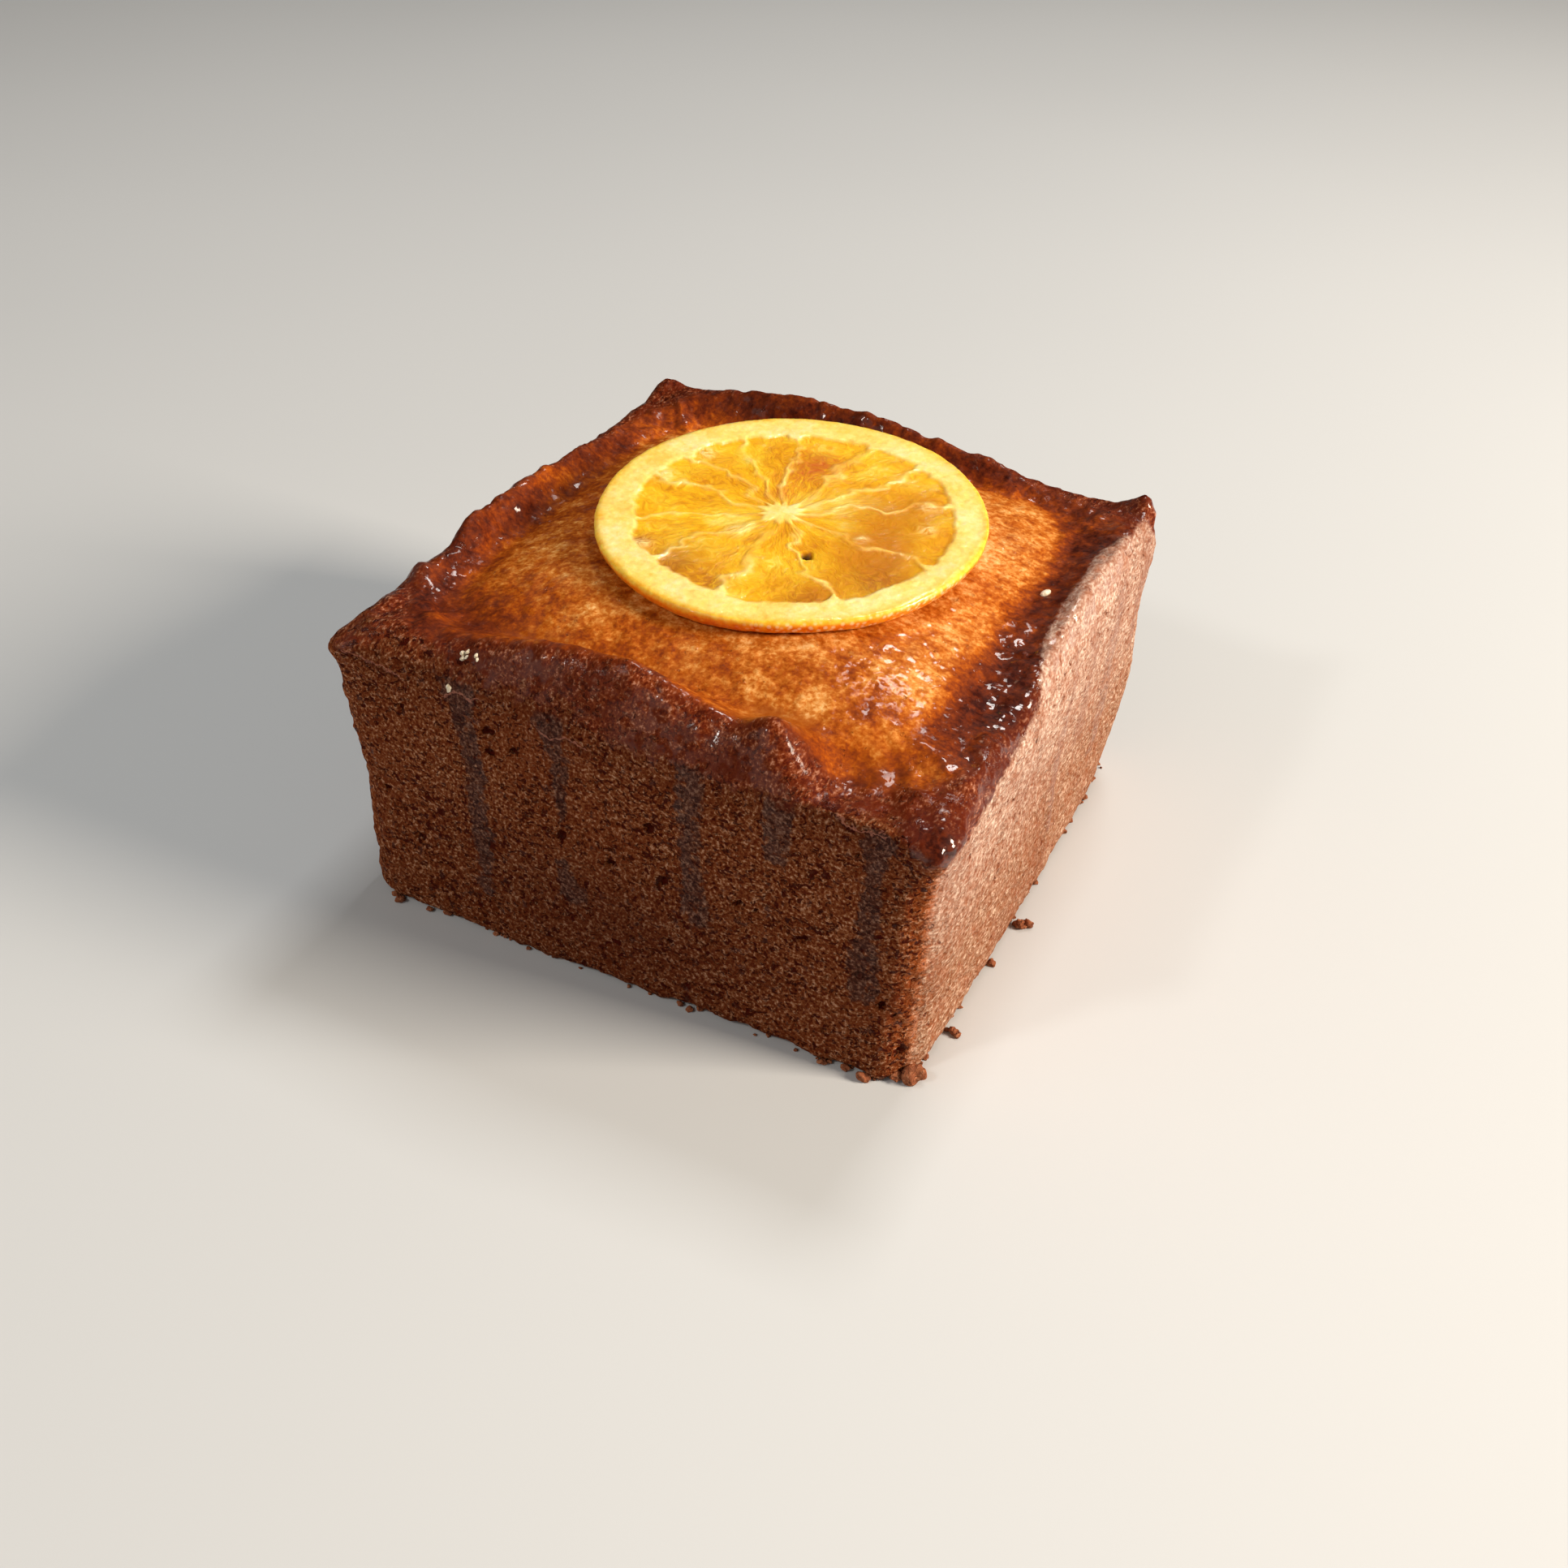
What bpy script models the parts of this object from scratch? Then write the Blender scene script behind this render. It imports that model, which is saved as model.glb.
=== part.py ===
"""A small square ginger cake, baked in its own tin, with a candied orange slice on top.

Metres, +Z up. The origin is the centre of the flat base. +X runs along the front face, whose
outside looks towards -Y. Two solids: the cake, whose batter rose to a low dome inside a raised,
uneven rim, and the orange slice that rests on the dome.
"""

import math

import bmesh
import bpy
import numpy as np

# The cake's block.
TOP_WIDTH = 0.0900
BASE_WIDTH = 0.0908
TOP_CORNER_RADIUS = 0.0036
BASE_CORNER_RADIUS = 0.0070
BASE_ROUND = 0.0016
CRUST_LIP = 0.0007
LIP_POWER = 6

# The faces bulge and sink a little. The second and third are the swells round the cake and up it.
FACE_WAVE = 0.0003
FACE_SWELLS_ROUND = 5
FACE_SWELLS_UP = 9

# Height of the top edge of the faces, at the corners named by their X and Y signs.
EDGE_HEIGHT = {(-1, -1): 0.0454, (1, -1): 0.0424, (1, 1): 0.0448, (-1, 1): 0.0456}

# How far a pointed corner stands over the rim beside it, and how wide that point is. Its tip
# stands inside the corner by this share of the corner's radius.
PEAK_INSET = 0.4
CORNER_PEAK = {
    (-1, -1): (0.0020, 0.0030),
    (1, -1): (0.0012, 0.0030),
    (1, 1): (0.0030, 0.0038),
    (-1, 1): (0.0042, 0.0032),
}

# The rim along each side. inset is how far its crest stands inside the face, slope the width of
# its inner side, and rise its height over the face's edge. Each hump is (place, height, spread).
RIM = {
    "front": {
        "inset": 0.0050,
        "slope": 0.0068,
        "rise": 0.0012,
        "humps": ((-0.0036, 0.0068, 0.0144), (0.0205, 0.0040, 0.0033), (0.0325, -0.0020, 0.0066)),
    },
    "back": {
        "inset": 0.0026,
        "slope": 0.0055,
        "rise": 0.0026,
        "humps": ((-0.0110, 0.0046, 0.0180), (0.0330, -0.0010, 0.0070)),
    },
    "left": {
        "inset": 0.0026,
        "slope": 0.0058,
        "rise": 0.0016,
        "humps": ((-0.0050, 0.0030, 0.0150), (-0.0290, -0.0010, 0.0045)),
    },
    "right": {
        "inset": 0.0016,
        "slope": 0.0098,
        "rise": 0.0016,
        "humps": ((0.0120, 0.0030, 0.0170), (-0.0150, -0.0014, 0.0060)),
    },
}
RIM_WAVE = 0.0004
WAVE_LENGTHS = (0.0190, 0.0113, 0.0067)

# Higher powers make two rims meet in a sharper corner.
SIDE_SHARE_POWER = 8
LEAST_NEARNESS = 0.02
RIM_CORNER_POWER = 6

# The dome inside the rim.
DOME_HEIGHT = 0.0502
VALLEY_HEIGHT = 0.0415
DOME_POWER = 3.6
DOME_CENTRE = (0.0, 0.0020)

# The orange slice, which lies a little lower in front. TAPER is how much narrower its lower face is.
SLICE_CENTRE = (0.0003, 0.0040)
SLICE_TOP = 0.0533
SLICE_TILT = 0.054
SLICE_RADIUS = 0.0289
SLICE_TAPER = 0.0010
SLICE_UNEVEN = 0.004
SLICE_THICKNESS = 0.0025
SLICE_EDGE_ROUND = 0.0007
GAP = 0.0003

# Mesh steps, and the bend from which an edge is left sharp.
PLAN_CUTS = 25
HEIGHT_CUTS = 11
EDGE_CROWDING = 0.55
SLICE_STEPS = 64
SLICE_RINGS = 7
SHARP_BEND = math.radians(50)
TINY = 1e-6


def remove_everything():
    """Clears the scene, so that the model stands alone in it."""
    for thing in list(bpy.data.objects):
        bpy.data.objects.remove(thing, do_unlink=True)


def new_collection(name):
    """A collection of this name under the scene's own."""
    collection = bpy.data.collections.new(name)
    bpy.context.scene.collection.children.link(collection)
    return collection


def new_material(name, colour, roughness, coat):
    """A Principled material with this colour, roughness and syrup coat."""
    material = bpy.data.materials.new(name)
    material.use_nodes = True
    shader = material.node_tree.nodes["Principled BSDF"]
    shader.inputs["Base Color"].default_value = (*colour, 1.0)
    shader.inputs["Roughness"].default_value = roughness
    shader.inputs["Metallic"].default_value = 0.0
    shader.inputs["Coat Weight"].default_value = coat
    material.diffuse_color = (*colour, 1.0)
    return material


def crowd_to_ends(steps):
    """Moves even steps in -1..1 towards both ends, where the rim and the corners are."""
    return (1 - EDGE_CROWDING) * steps + EDGE_CROWDING * np.sin(steps * np.pi / 2)


def corner_pull(u, v, radius):
    """How far a ray through (u, v) of a unit square is pulled in by corners of this radius."""
    longer = np.maximum(np.maximum(np.abs(u), np.abs(v)), TINY)
    slant = np.minimum(np.abs(u), np.abs(v)) / longer
    centre = 1 - radius
    run = 1 + slant**2
    under_root = (centre * (1 + slant)) ** 2 - run * (2 * centre**2 - radius**2)
    on_arc = (centre * (1 + slant) + np.sqrt(np.maximum(under_root, 0))) / run
    return np.where(slant > centre, on_arc, 1.0)


def waves(along, phase):
    """An uneven line between -1 and 1, made of waves that never fall in step."""
    total = np.zeros_like(along)
    for order, length in enumerate(WAVE_LENGTHS, start=1):
        total += np.sin(2 * np.pi * along / length + order * phase) / (order + 1)
    return total


def rim_rise(side, along):
    """Height of this side's crest over the edge of its face."""
    rise = np.full_like(along, RIM[side]["rise"])
    for place, height, spread in RIM[side]["humps"]:
        rise += height * np.exp(-(((along - place) / spread) ** 2) / 2)
    phase = 1.0 + list(RIM).index(side)
    return rise + RIM_WAVE * waves(along, phase)


def side_shares(u, v):
    """How much each side rules a point of the unit square, from its nearness to that side."""
    nearness = {"front": -v, "back": v, "left": -u, "right": u}
    shares = {}
    for side, near in nearness.items():
        shares[side] = np.maximum(near, LEAST_NEARNESS) ** SIDE_SHARE_POWER
    total = sum(shares.values())
    return {side: share / total for side, share in shares.items()}


def blend_of_corners(u, v, values):
    """Values given at the four corners, spread evenly over the unit square."""
    blended = np.zeros_like(u)
    for (sign_u, sign_v), value in values.items():
        blended += value * (1 + sign_u * u) * (1 + sign_v * v) / 4
    return blended


def dome(x, y):
    """Height of the risen middle, which falls to a valley inside the rim."""
    half = TOP_WIDTH / 2
    fall_x = 1 - np.minimum(np.abs(x - DOME_CENTRE[0]) / half, 1) ** DOME_POWER
    fall_y = 1 - np.minimum(np.abs(y - DOME_CENTRE[1]) / half, 1) ** DOME_POWER
    return VALLEY_HEIGHT + (DOME_HEIGHT - VALLEY_HEIGHT) * fall_x * fall_y


def soft_step(value):
    """Rises smoothly from 0 to 1 as the value does."""
    value = np.clip(value, 0, 1)
    return value * value * (3 - 2 * value)


def top_of_cake(u, v):
    """X, Y and Z of the top surface over the unit square: dome, valley, rim and its outer shoulder."""
    half = TOP_WIDTH / 2
    pull = corner_pull(u, v, TOP_CORNER_RADIUS / half)
    x = u * pull * half
    y = v * pull * half
    shares = side_shares(u, v)
    along = {"front": x, "back": x, "left": y, "right": y}
    edge = blend_of_corners(u, v, EDGE_HEIGHT)
    rise = sum(shares[side] * rim_rise(side, along[side]) for side in RIM)
    inset = sum(shares[side] * RIM[side]["inset"] for side in RIM)
    slope = sum(shares[side] * RIM[side]["slope"] for side in RIM)
    for (sign_u, sign_v), (height, width) in CORNER_PEAK.items():
        away = np.hypot(x - sign_u * half, y - sign_v * half) - PEAK_INSET * TOP_CORNER_RADIUS
        rise = rise + height * np.exp(-((np.maximum(away, 0) / width) ** 2))
    crest = edge + rise
    powers = np.abs(u) ** RIM_CORNER_POWER + np.abs(v) ** RIM_CORNER_POWER
    rounded_reach = powers ** (1 / RIM_CORNER_POWER)
    from_rim = half * (1 - rounded_reach) - inset
    on_rim = 1 - soft_step(from_rim / slope)
    middle = dome(x, y)
    from_face = half * (1 - np.maximum(np.abs(u), np.abs(v)))
    over_edge = np.maximum(1 - from_face / inset, 0) ** 2
    z = middle + (crest - middle) * on_rim - rise * over_edge
    return x, y, z


def side_of_cake(u, v, level):
    """X, Y and Z of the four faces. level runs from 0 at the base to 1 at the top edge."""
    z = level * blend_of_corners(u, v, EDGE_HEIGHT)
    half = (BASE_WIDTH + (TOP_WIDTH - BASE_WIDTH) * level) / 2
    into_round = np.maximum(1 - z / BASE_ROUND, 0)
    half = half - BASE_ROUND * (1 - np.sqrt(1 - into_round**2))
    half = half + CRUST_LIP * np.sin(np.pi * level**LIP_POWER)
    swell = np.sin(FACE_SWELLS_ROUND * np.arctan2(v, u) + FACE_SWELLS_UP * level)
    half = half + FACE_WAVE * swell * np.sin(np.pi * level)
    radius = BASE_CORNER_RADIUS + (TOP_CORNER_RADIUS - BASE_CORNER_RADIUS) * level
    pull = corner_pull(u, v, radius * 2 / TOP_WIDTH)
    return u * pull * half, v * pull * half, z


def base_of_cake(u, v):
    """X, Y and Z of the flat base, inside the round of its edge."""
    half = BASE_WIDTH / 2 - BASE_ROUND
    pull = corner_pull(u, v, BASE_CORNER_RADIUS * 2 / TOP_WIDTH)
    return u * pull * half, v * pull * half, np.zeros_like(u)


def gridded_block(cuts):
    """A block from -1 to 1 whose edges along X, Y and Z have these numbers of cuts."""
    mesh = bmesh.new()
    bmesh.ops.create_cube(mesh, size=2.0)
    for axis, count in enumerate(cuts):
        edges = [e for e in mesh.edges if abs((e.verts[0].co - e.verts[1].co)[axis]) > 1.0]
        bmesh.ops.subdivide_edges(mesh, edges=edges, cuts=count, use_grid_fill=True)
    return mesh


def move_points(mesh, places):
    """Gives every vertex its new place and turns the faces outwards."""
    for vertex, place in zip(mesh.verts, places):
        vertex.co = place
    bmesh.ops.recalc_face_normals(mesh, faces=mesh.faces)


def finished_object(name, mesh, material, collection):
    """An object made of this mesh, smooth but for its sharp edges."""
    data = bpy.data.meshes.new(name)
    mesh.to_mesh(data)
    mesh.free()
    data.materials.append(material)
    data.shade_smooth()
    data.set_sharp_from_angle(angle=SHARP_BEND)
    thing = bpy.data.objects.new(name, data)
    collection.objects.link(thing)
    return thing


def make_cake(collection):
    """The cake: one block whose top, faces and base are each shaped by their own rule."""
    mesh = gridded_block((PLAN_CUTS, PLAN_CUTS, HEIGHT_CUTS))
    steps = np.array([vertex.co for vertex in mesh.verts])
    u, v, w = (crowd_to_ends(steps[:, axis]) for axis in range(3))
    on_top = w > 1 - TINY
    on_base = w < -1 + TINY
    level = (w + 1) / 2
    places = np.stack(side_of_cake(u, v, level), axis=1)
    places[on_top] = np.stack(top_of_cake(u[on_top], v[on_top]), axis=1)
    places[on_base] = np.stack(base_of_cake(u[on_base], v[on_base]), axis=1)
    move_points(mesh, places)
    crust = new_material("cake_crumb", (0.115, 0.040, 0.014), 0.75, 0.0)
    return finished_object("cake", mesh, crust, collection)


def slice_radius(angle):
    """The slice's outline: a slightly uneven circle."""
    uneven = 1 + SLICE_UNEVEN * (np.sin(3 * angle + 0.7) + 0.7 * np.sin(7 * angle))
    return SLICE_RADIUS * uneven


def slice_upper(y):
    """Height of the slice's upper face."""
    return SLICE_TOP + SLICE_TILT * (y - SLICE_CENTRE[1])


def slice_under(x, y):
    """Height of the slice's lower face, which is pressed in where it lies on the dome."""
    return np.maximum(slice_upper(y) - SLICE_THICKNESS, dome(x, y) + GAP)


def ring_reach(ring):
    """How far out this ring of points lies, with the rings crowded towards the edge."""
    return math.cos(math.pi / 2 * ring / (SLICE_RINGS + 1))


def ringed_drum():
    """A drum of radius 1 from -1 to 1 whose two flat faces are rings round a middle point."""
    mesh = bmesh.new()
    bmesh.ops.create_cone(
        mesh,
        cap_ends=True,
        cap_tris=False,
        segments=SLICE_STEPS,
        radius1=1.0,
        radius2=1.0,
        depth=2.0,
    )
    caps = [face for face in mesh.faces if len(face.verts) == SLICE_STEPS]
    for cap in caps:
        for ring in range(SLICE_RINGS):
            bmesh.ops.inset_region(mesh, faces=[cap], thickness=0.0, use_even_offset=False)
            for vertex in cap.verts:
                vertex.co.xy *= ring_reach(ring + 1) / ring_reach(ring)
    bmesh.ops.poke(mesh, faces=caps)
    return mesh


def make_slice(collection):
    """The orange slice: a thin drum laid on the dome, with its upper and lower edges rounded."""
    mesh = ringed_drum()
    steps = np.array([vertex.co for vertex in mesh.verts])
    reach = np.hypot(steps[:, 0], steps[:, 1])
    angle = np.arctan2(steps[:, 1], steps[:, 0])
    is_upper = steps[:, 2] > 0
    radius = (slice_radius(angle) - np.where(is_upper, 0, SLICE_TAPER)) * reach
    x = radius * np.cos(angle)
    y = radius * np.sin(angle)
    outermost = reach > (ring_reach(0) + ring_reach(1)) / 2
    upper = slice_upper(SLICE_CENTRE[1] + y) - SLICE_EDGE_ROUND * outermost
    under = slice_under(SLICE_CENTRE[0] + x, SLICE_CENTRE[1] + y) + SLICE_EDGE_ROUND * outermost
    z = np.where(is_upper, upper, under) - DOME_HEIGHT
    move_points(mesh, np.stack([x, y, z], axis=1))
    peel = new_material("orange_slice", (0.90, 0.42, 0.045), 0.30, 0.6)
    thing = finished_object("orange_slice", mesh, peel, collection)
    thing.location = (*SLICE_CENTRE, DOME_HEIGHT)
    return thing


def main():
    """Builds the cake and its slice."""
    remove_everything()
    collection = new_collection("ginger_cake")
    make_cake(collection)
    make_slice(collection)


main()
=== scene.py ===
"""The looks of a small square ginger cake with a candied orange slice on top.

Metres, +Z up. +X runs along the dark front face, whose outside looks towards -Y. The cake and the
slice are rebuilt here as fine closed meshes in the places of their plain solids. Masks on the
vertices say where there is amber glaze, browned rim, run-down syrup or an open pore, and the
materials turn those masks and their own fine patterns into colour, gloss and grain.
"""

import math

import bmesh
import bpy
import numpy as np
from mathutils import Matrix, Vector
from mathutils.bvhtree import BVHTree


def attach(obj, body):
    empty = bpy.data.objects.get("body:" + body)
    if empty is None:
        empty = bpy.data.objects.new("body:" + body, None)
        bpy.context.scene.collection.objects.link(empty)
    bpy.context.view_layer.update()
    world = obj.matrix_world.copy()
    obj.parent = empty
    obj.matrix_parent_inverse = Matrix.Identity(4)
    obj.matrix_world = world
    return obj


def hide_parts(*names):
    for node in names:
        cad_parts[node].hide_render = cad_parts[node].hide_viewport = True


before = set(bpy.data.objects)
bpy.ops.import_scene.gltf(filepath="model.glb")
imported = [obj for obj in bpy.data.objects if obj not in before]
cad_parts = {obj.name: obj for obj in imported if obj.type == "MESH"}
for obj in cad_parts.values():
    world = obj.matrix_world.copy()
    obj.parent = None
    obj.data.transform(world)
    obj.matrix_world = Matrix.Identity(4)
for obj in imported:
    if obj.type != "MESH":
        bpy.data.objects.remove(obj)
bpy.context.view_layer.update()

MM = 0.001
CORNERS = ((-1, -1), (1, -1), (1, 1), (-1, 1))

# The cake's block, as the solid has it.
TOP_WIDTH = 90.0 * MM
BASE_WIDTH = 90.8 * MM
TOP_CORNER_RADIUS = 3.6 * MM
BASE_CORNER_RADIUS = 7.0 * MM
BASE_ROUND = 1.6 * MM
CRUST_LIP = 0.7 * MM
LIP_POWER = 6
FACE_WAVE = 0.3 * MM
FACE_SWELLS_ROUND = 5
FACE_SWELLS_UP = 9
EDGE_HEIGHT = dict(zip(CORNERS, (45.4 * MM, 42.4 * MM, 44.8 * MM, 45.6 * MM)))

# The points of the corners: height over the rim, and width.
PEAK_INSET = 0.4
CORNER_PEAK = dict(
    zip(
        CORNERS,
        ((2.0 * MM, 3.0 * MM), (1.2 * MM, 3.0 * MM), (3.0 * MM, 3.8 * MM), (4.2 * MM, 3.2 * MM)),
    )
)

# The rim. inset is how far its crest stands inside the face, slope the width of its inner side,
# rise its height over the face's edge, and each hump is (place, height, spread). The crust reaches
# this far outside the crest and fades out over fade. The rim is browned this much (bake), as far
# inside the crest as browned says, and pales over browning. lumps is how high it is knobbed.


def rim_side(bake, humps, **sizes):
    """One side's rim, from sizes in millimetres."""
    return {"bake": bake, "humps": humps, **{name: size * MM for name, size in sizes.items()}}


RIM = {
    "front": rim_side(
        inset=5.0, slope=6.8, rise=1.2, humps=((-3.6, 6.8, 14.4), (20.5, 4, 3.3), (32.5, -2, 6.6)),
        crust=5.4, fade=4.4, browned=0.6, browning=2.8, bake=0.60, lumps=0.42,
    ),
    "back": rim_side(
        inset=2.6, slope=5.5, rise=2.6, humps=((-11, 4.6, 18), (33, -1, 7)),
        crust=3.8, fade=3.0, browned=3.8, browning=4.0, bake=0.74, lumps=0.80,
    ),
    "left": rim_side(
        inset=2.6, slope=5.8, rise=1.6, humps=((-5, 3, 15), (-29, -1, 4.5)),
        crust=3.0, fade=3.0, browned=4.6, browning=6.0, bake=0.72, lumps=0.85,
    ),
    "right": rim_side(
        inset=1.6, slope=9.8, rise=1.6, humps=((12, 3, 17), (-15, -1.4, 6)),
        crust=-2.0, fade=1.6, browned=8.0, browning=5.0, bake=0.78, lumps=0.70,
    ),
}
RIM_WAVE = 0.4 * MM
WAVE_LENGTHS = (19.0 * MM, 11.3 * MM, 6.7 * MM)
SIDE_SHARE_POWER = 8
LEAST_NEARNESS = 0.02
RIM_CORNER_POWER = 6

# The dome.
DOME_HEIGHT = 50.2 * MM
VALLEY_HEIGHT = 41.5 * MM
DOME_POWER = 3.6
DOME_CENTRE = (0.0, 2.0 * MM)

# Browning, from 0 for pale amber to 1 for nearly black, and what changes it: (x, y, radius, change)
# in millimetres. Outside the crest of the front rim it is browned more, over OUTER_REACH.
DOME_BAKE = 0.38
OUTER_BAKE = 0.16
OUTER_REACH = 6.0 * MM
BAKE_SPOTS = (
    (-31, -34, 8.5, 0.42), (-41, -20, 5, 0.18), (-34, 0, 6, 0.14), (-42, 4, 5, -0.14),
    (41, -15, 5, 0.12), (-42, 28, 6, -0.10), (30, -29, 6, 0.10), (43.5, -43.5, 4.5, 0.25),
    (-40, -39, 3.5, -0.12), (-20, 20, 16, 0.04), (25, 16, 9, -0.14), (26, 32, 6, -0.10),
    (30, -10, 10, -0.04), (26, -39, 4.5, 0.22), (40, -14, 9, 0.06), (42, 38, 5, -0.06),
    (38, -33, 5, -0.22), (2, -27, 8, 0.06), (8, -36, 7, 0.06), (-14, -42, 7, 0.10),
)

# Where the glaze reaches further out over the rim: (x, y, radius, further) in millimetres.
GLAZE_SPOTS = ((-33.0, -41.0, 8.0, 2.4), (-14.0, -40.0, 7.0, 0.8), (44.5, -44.5, 3.6, 12.0))

# Where the crust reaches further down than along the rest of its side: (x, y, radius, further).
CRUST_SPOTS = (
    (-44, -44, 5, 4), (-30, -45, 10, -2), (44, -44, 4, 8.5), (45, -29, 11, 6.2), (43, -13, 8, 3.4),
    (45, -38, 5, 5), (43, 34, 5, 3), (44, 44, 5, 8.5), (-44, 44, 5, 4),
)

# Where the glaze stands in wet beads that sparkle: (x, y, radius) in millimetres. The syrup on the
# front rim's shoulder shines this much less, but not at its two corners: (x, y, radius).
BEADED = (
    (26, -12, 11), (24, 3, 6), (30, 20, 4), (-19, -32, 6), (-24, -24, 5), (2, -27, 7), (42, -17, 8),
    (43, 6, 6), (43, 24, 5), (43, 43, 5), (-42, -27, 6), (-42, -42, 5), (-43, -1, 4), (43, -43, 5),
    (20, -42, 5), (4, -43, 5), (-14, -41, 6), (-30, -42, 4), (12, -41, 4), (31, -41, 4), (40, -4, 6),
    (42, -31, 5), (20, -46, 4), (8, -46, 4), (-20, -46, 4),
)
SHOULDER_DULLING = 0.4
SHINING_CORNERS = ((44, -44, 4), (-44, -44, 4))

# Painted shade low in the middle of the front face: (place, height, half width, half height).
LOW_FRONT_SHADE = (-2.0, 11.0, 26.0, 12.0)

# Points that are drawn out or knobbed: (place, push, radius) in millimetres.
KNOBS = (
    ((-44.6, -44.6, 44.6), (-1.5, -1.5, -0.5), 2.6), ((-43, -43, 47.6), (0.6, 0.6, -1.2), 2.6),
    ((43.6, -43.6, 41.2), (1.3, -1.2, -0.3), 2.4), ((40.2, -44.6, 42.6), (0, -0.9, -0.2), 1.8),
    ((45, -39.6, 41.6), (0.8, 0, -0.2), 1.8), ((-42.6, -27, 46), (-0.5, 0, 1.3), 1.9),
    ((-42.6, -20.5, 47), (0.3, 0, -1.4), 2.4), ((-42.6, -14.5, 49), (-0.4, 0, 0.9), 2.2),
    ((43.4, 43.4, 48), (0.4, 0.3, 0.6), 2.6), ((44, 44, 0), (-1.2, -1.2, 0), 9),
    ((45, -44.6, 32), (-1.2, 0.5, 0), 6.5), ((45, -44.6, 22), (-1.2, 0.5, 0), 7),
    ((45, -44.6, 10), (-1.3, 0.5, 0), 7.5),
)

# The foot of the right face stands this much further in, from one place along it, over a second
# length and up to this height. The foot is frayed up to its height, most in a spot: (x, y, radius).
FOOT_TUCK = 1.1 * MM
TUCK_FROM = 38 * MM
TUCK_OVER = 6 * MM
TUCK_HEIGHT = 8 * MM
FRAY_HEIGHT = 1.2 * MM
FRAY_SPOT = (44.0, -40.0, 22.0)

# The largest pores: (side, place along it, height, radius) in millimetres.
PORES = (
    ("front", -38.7, 21.3, 1), ("front", -33.9, 14, 0.9), ("front", -19.9, 34.4, 0.8),
    ("front", -15.9, 36.1, 0.9), ("front", 4.5, 30.5, 0.9), ("front", -1.5, 22, 0.8),
    ("front", 27, 20.5, 0.9), ("front", 39.7, 13.8, 0.8), ("left", 12, 25, 1), ("left", -21, 31, 0.9),
    ("back", 10, 29, 1), ("back", -15, 18, 0.9),
)

# Ragged edges of dried syrup on the front face: (place, height) in millimetres, from left to right.
FILM_EDGES = (
    ((-42.4, 44.2), (-40, 43.4), (-36.5, 43), (-33.6, 42.2)),
    ((-26.8, 41.4), (-24.6, 43), (-22.6, 42.2), (-20.8, 42.8)),
    ((-12.6, 41.8), (-10, 40.4), (-7.4, 41.4), (-4.2, 40.8)), ((31, 42.6), (34.5, 41.6), (38, 42.4)),
)
FILM_REACH = 3.0
FILM_THICKNESS = 0.22 * MM

# Syrup that ran down the faces: each run is a list of (place along the face, height, half width), in
# millimetres. Its edge fades over DRIP_SOFTNESS.
DRIPS = {
    "front": (
        ((-24.4, 43.5, 2.6), (-23.8, 37.6, 1.5), (-22.6, 30.7, 1.6), (-22.8, 24.2, 1.5), (-23, 9, 1.3)),
        ((-10.2, 42.5, 2.2), (-9, 38, 1.4), (-9.2, 33, 1.3), (-8.8, 27, 0.7)),
        ((-8.9, 18.6, 1.3), (-7.9, 14.6, 2.2)),
        ((11.1, 42.8, 2), (10.7, 36.7, 1.7), (10.7, 30, 1.5), (11.1, 22, 1.6), (11.6, 18.5, 2.2)),
        ((23.7, 42.3, 2.2), (23.5, 36, 2.1), (23.3, 34, 1.7)),
        (
            *((36.9, 41.6, 2.4), (36.6, 36.3, 1.3), (36.9, 31.9, 1.6)),
            *((36.6, 25.5, 1.6), (36.3, 18.3, 2.8), (36.8, 15.4, 2.4)),
        ),
    ),
    "right": (
        ((4, 45, 1.6), (2.6, 33.2, 1.3), (4, 19.7, 1.6), (4.5, 12, 1.2)),
        ((13, 46, 2.6), (12.6, 33, 2.2), (13, 24, 2.4)),
        ((26, 46, 2.8), (23.8, 34, 2.4), (24.4, 15, 2.2)),
        ((37.5, 45, 2.2), (37, 28, 2)),
    ),
    "left": (
        ((-30, 44, 2), (-29.2, 33, 1.4), (-29.8, 17, 1.5)),
        ((-8, 45, 2.2), (-8.6, 36, 1.6), (-8, 27, 1.8)),
        ((17, 46, 1.8), (17.8, 30, 1.3), (17.4, 10, 1.5)),
    ),
    "back": (
        ((-27, 46, 2.2), (-26, 34, 1.5), (-26.4, 22, 1.6)),
        ((-3, 47, 1.9), (-3.8, 30, 1.3), (-3.2, 14, 1.6)),
        ((22, 45, 2), (22.8, 37, 1.6), (22.4, 29, 2)),
    ),
}
DRIP_SOFTNESS = 1.3

# How far inside the crest of the rim these lie, where below 0 is outside it: the pooled glaze, the
# wet crest of the right rim, and how far in the painted sunlight of the right face reaches.
POOL_BAND = (0.5 * MM, 7.0 * MM)
CREST_BAND = (-1.8 * MM, 2.6 * MM)
PAINTED_SUN_REACH = 3.2 * MM

# The glaze's edge fades over INNER_FADE. The painted sunlight on the right face grows paler from one
# height on, over a second one. Under the rim the faces get painted shade, RIM_SHADE deep, which
# fades out over SHADE_DEPTH.
INNER_FADE = 1.8 * MM
PALE_FROM = 13.0 * MM
PALE_OVER = 26.0 * MM
RIM_SHADE = 0.6
SHADE_DEPTH = 4.0 * MM

# How close to a face, and to an upright edge, counts as on it: start and fade over the unit square.
ON_FACE = (0.985, 0.01)
ON_EDGE = (0.92, 0.06)

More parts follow.
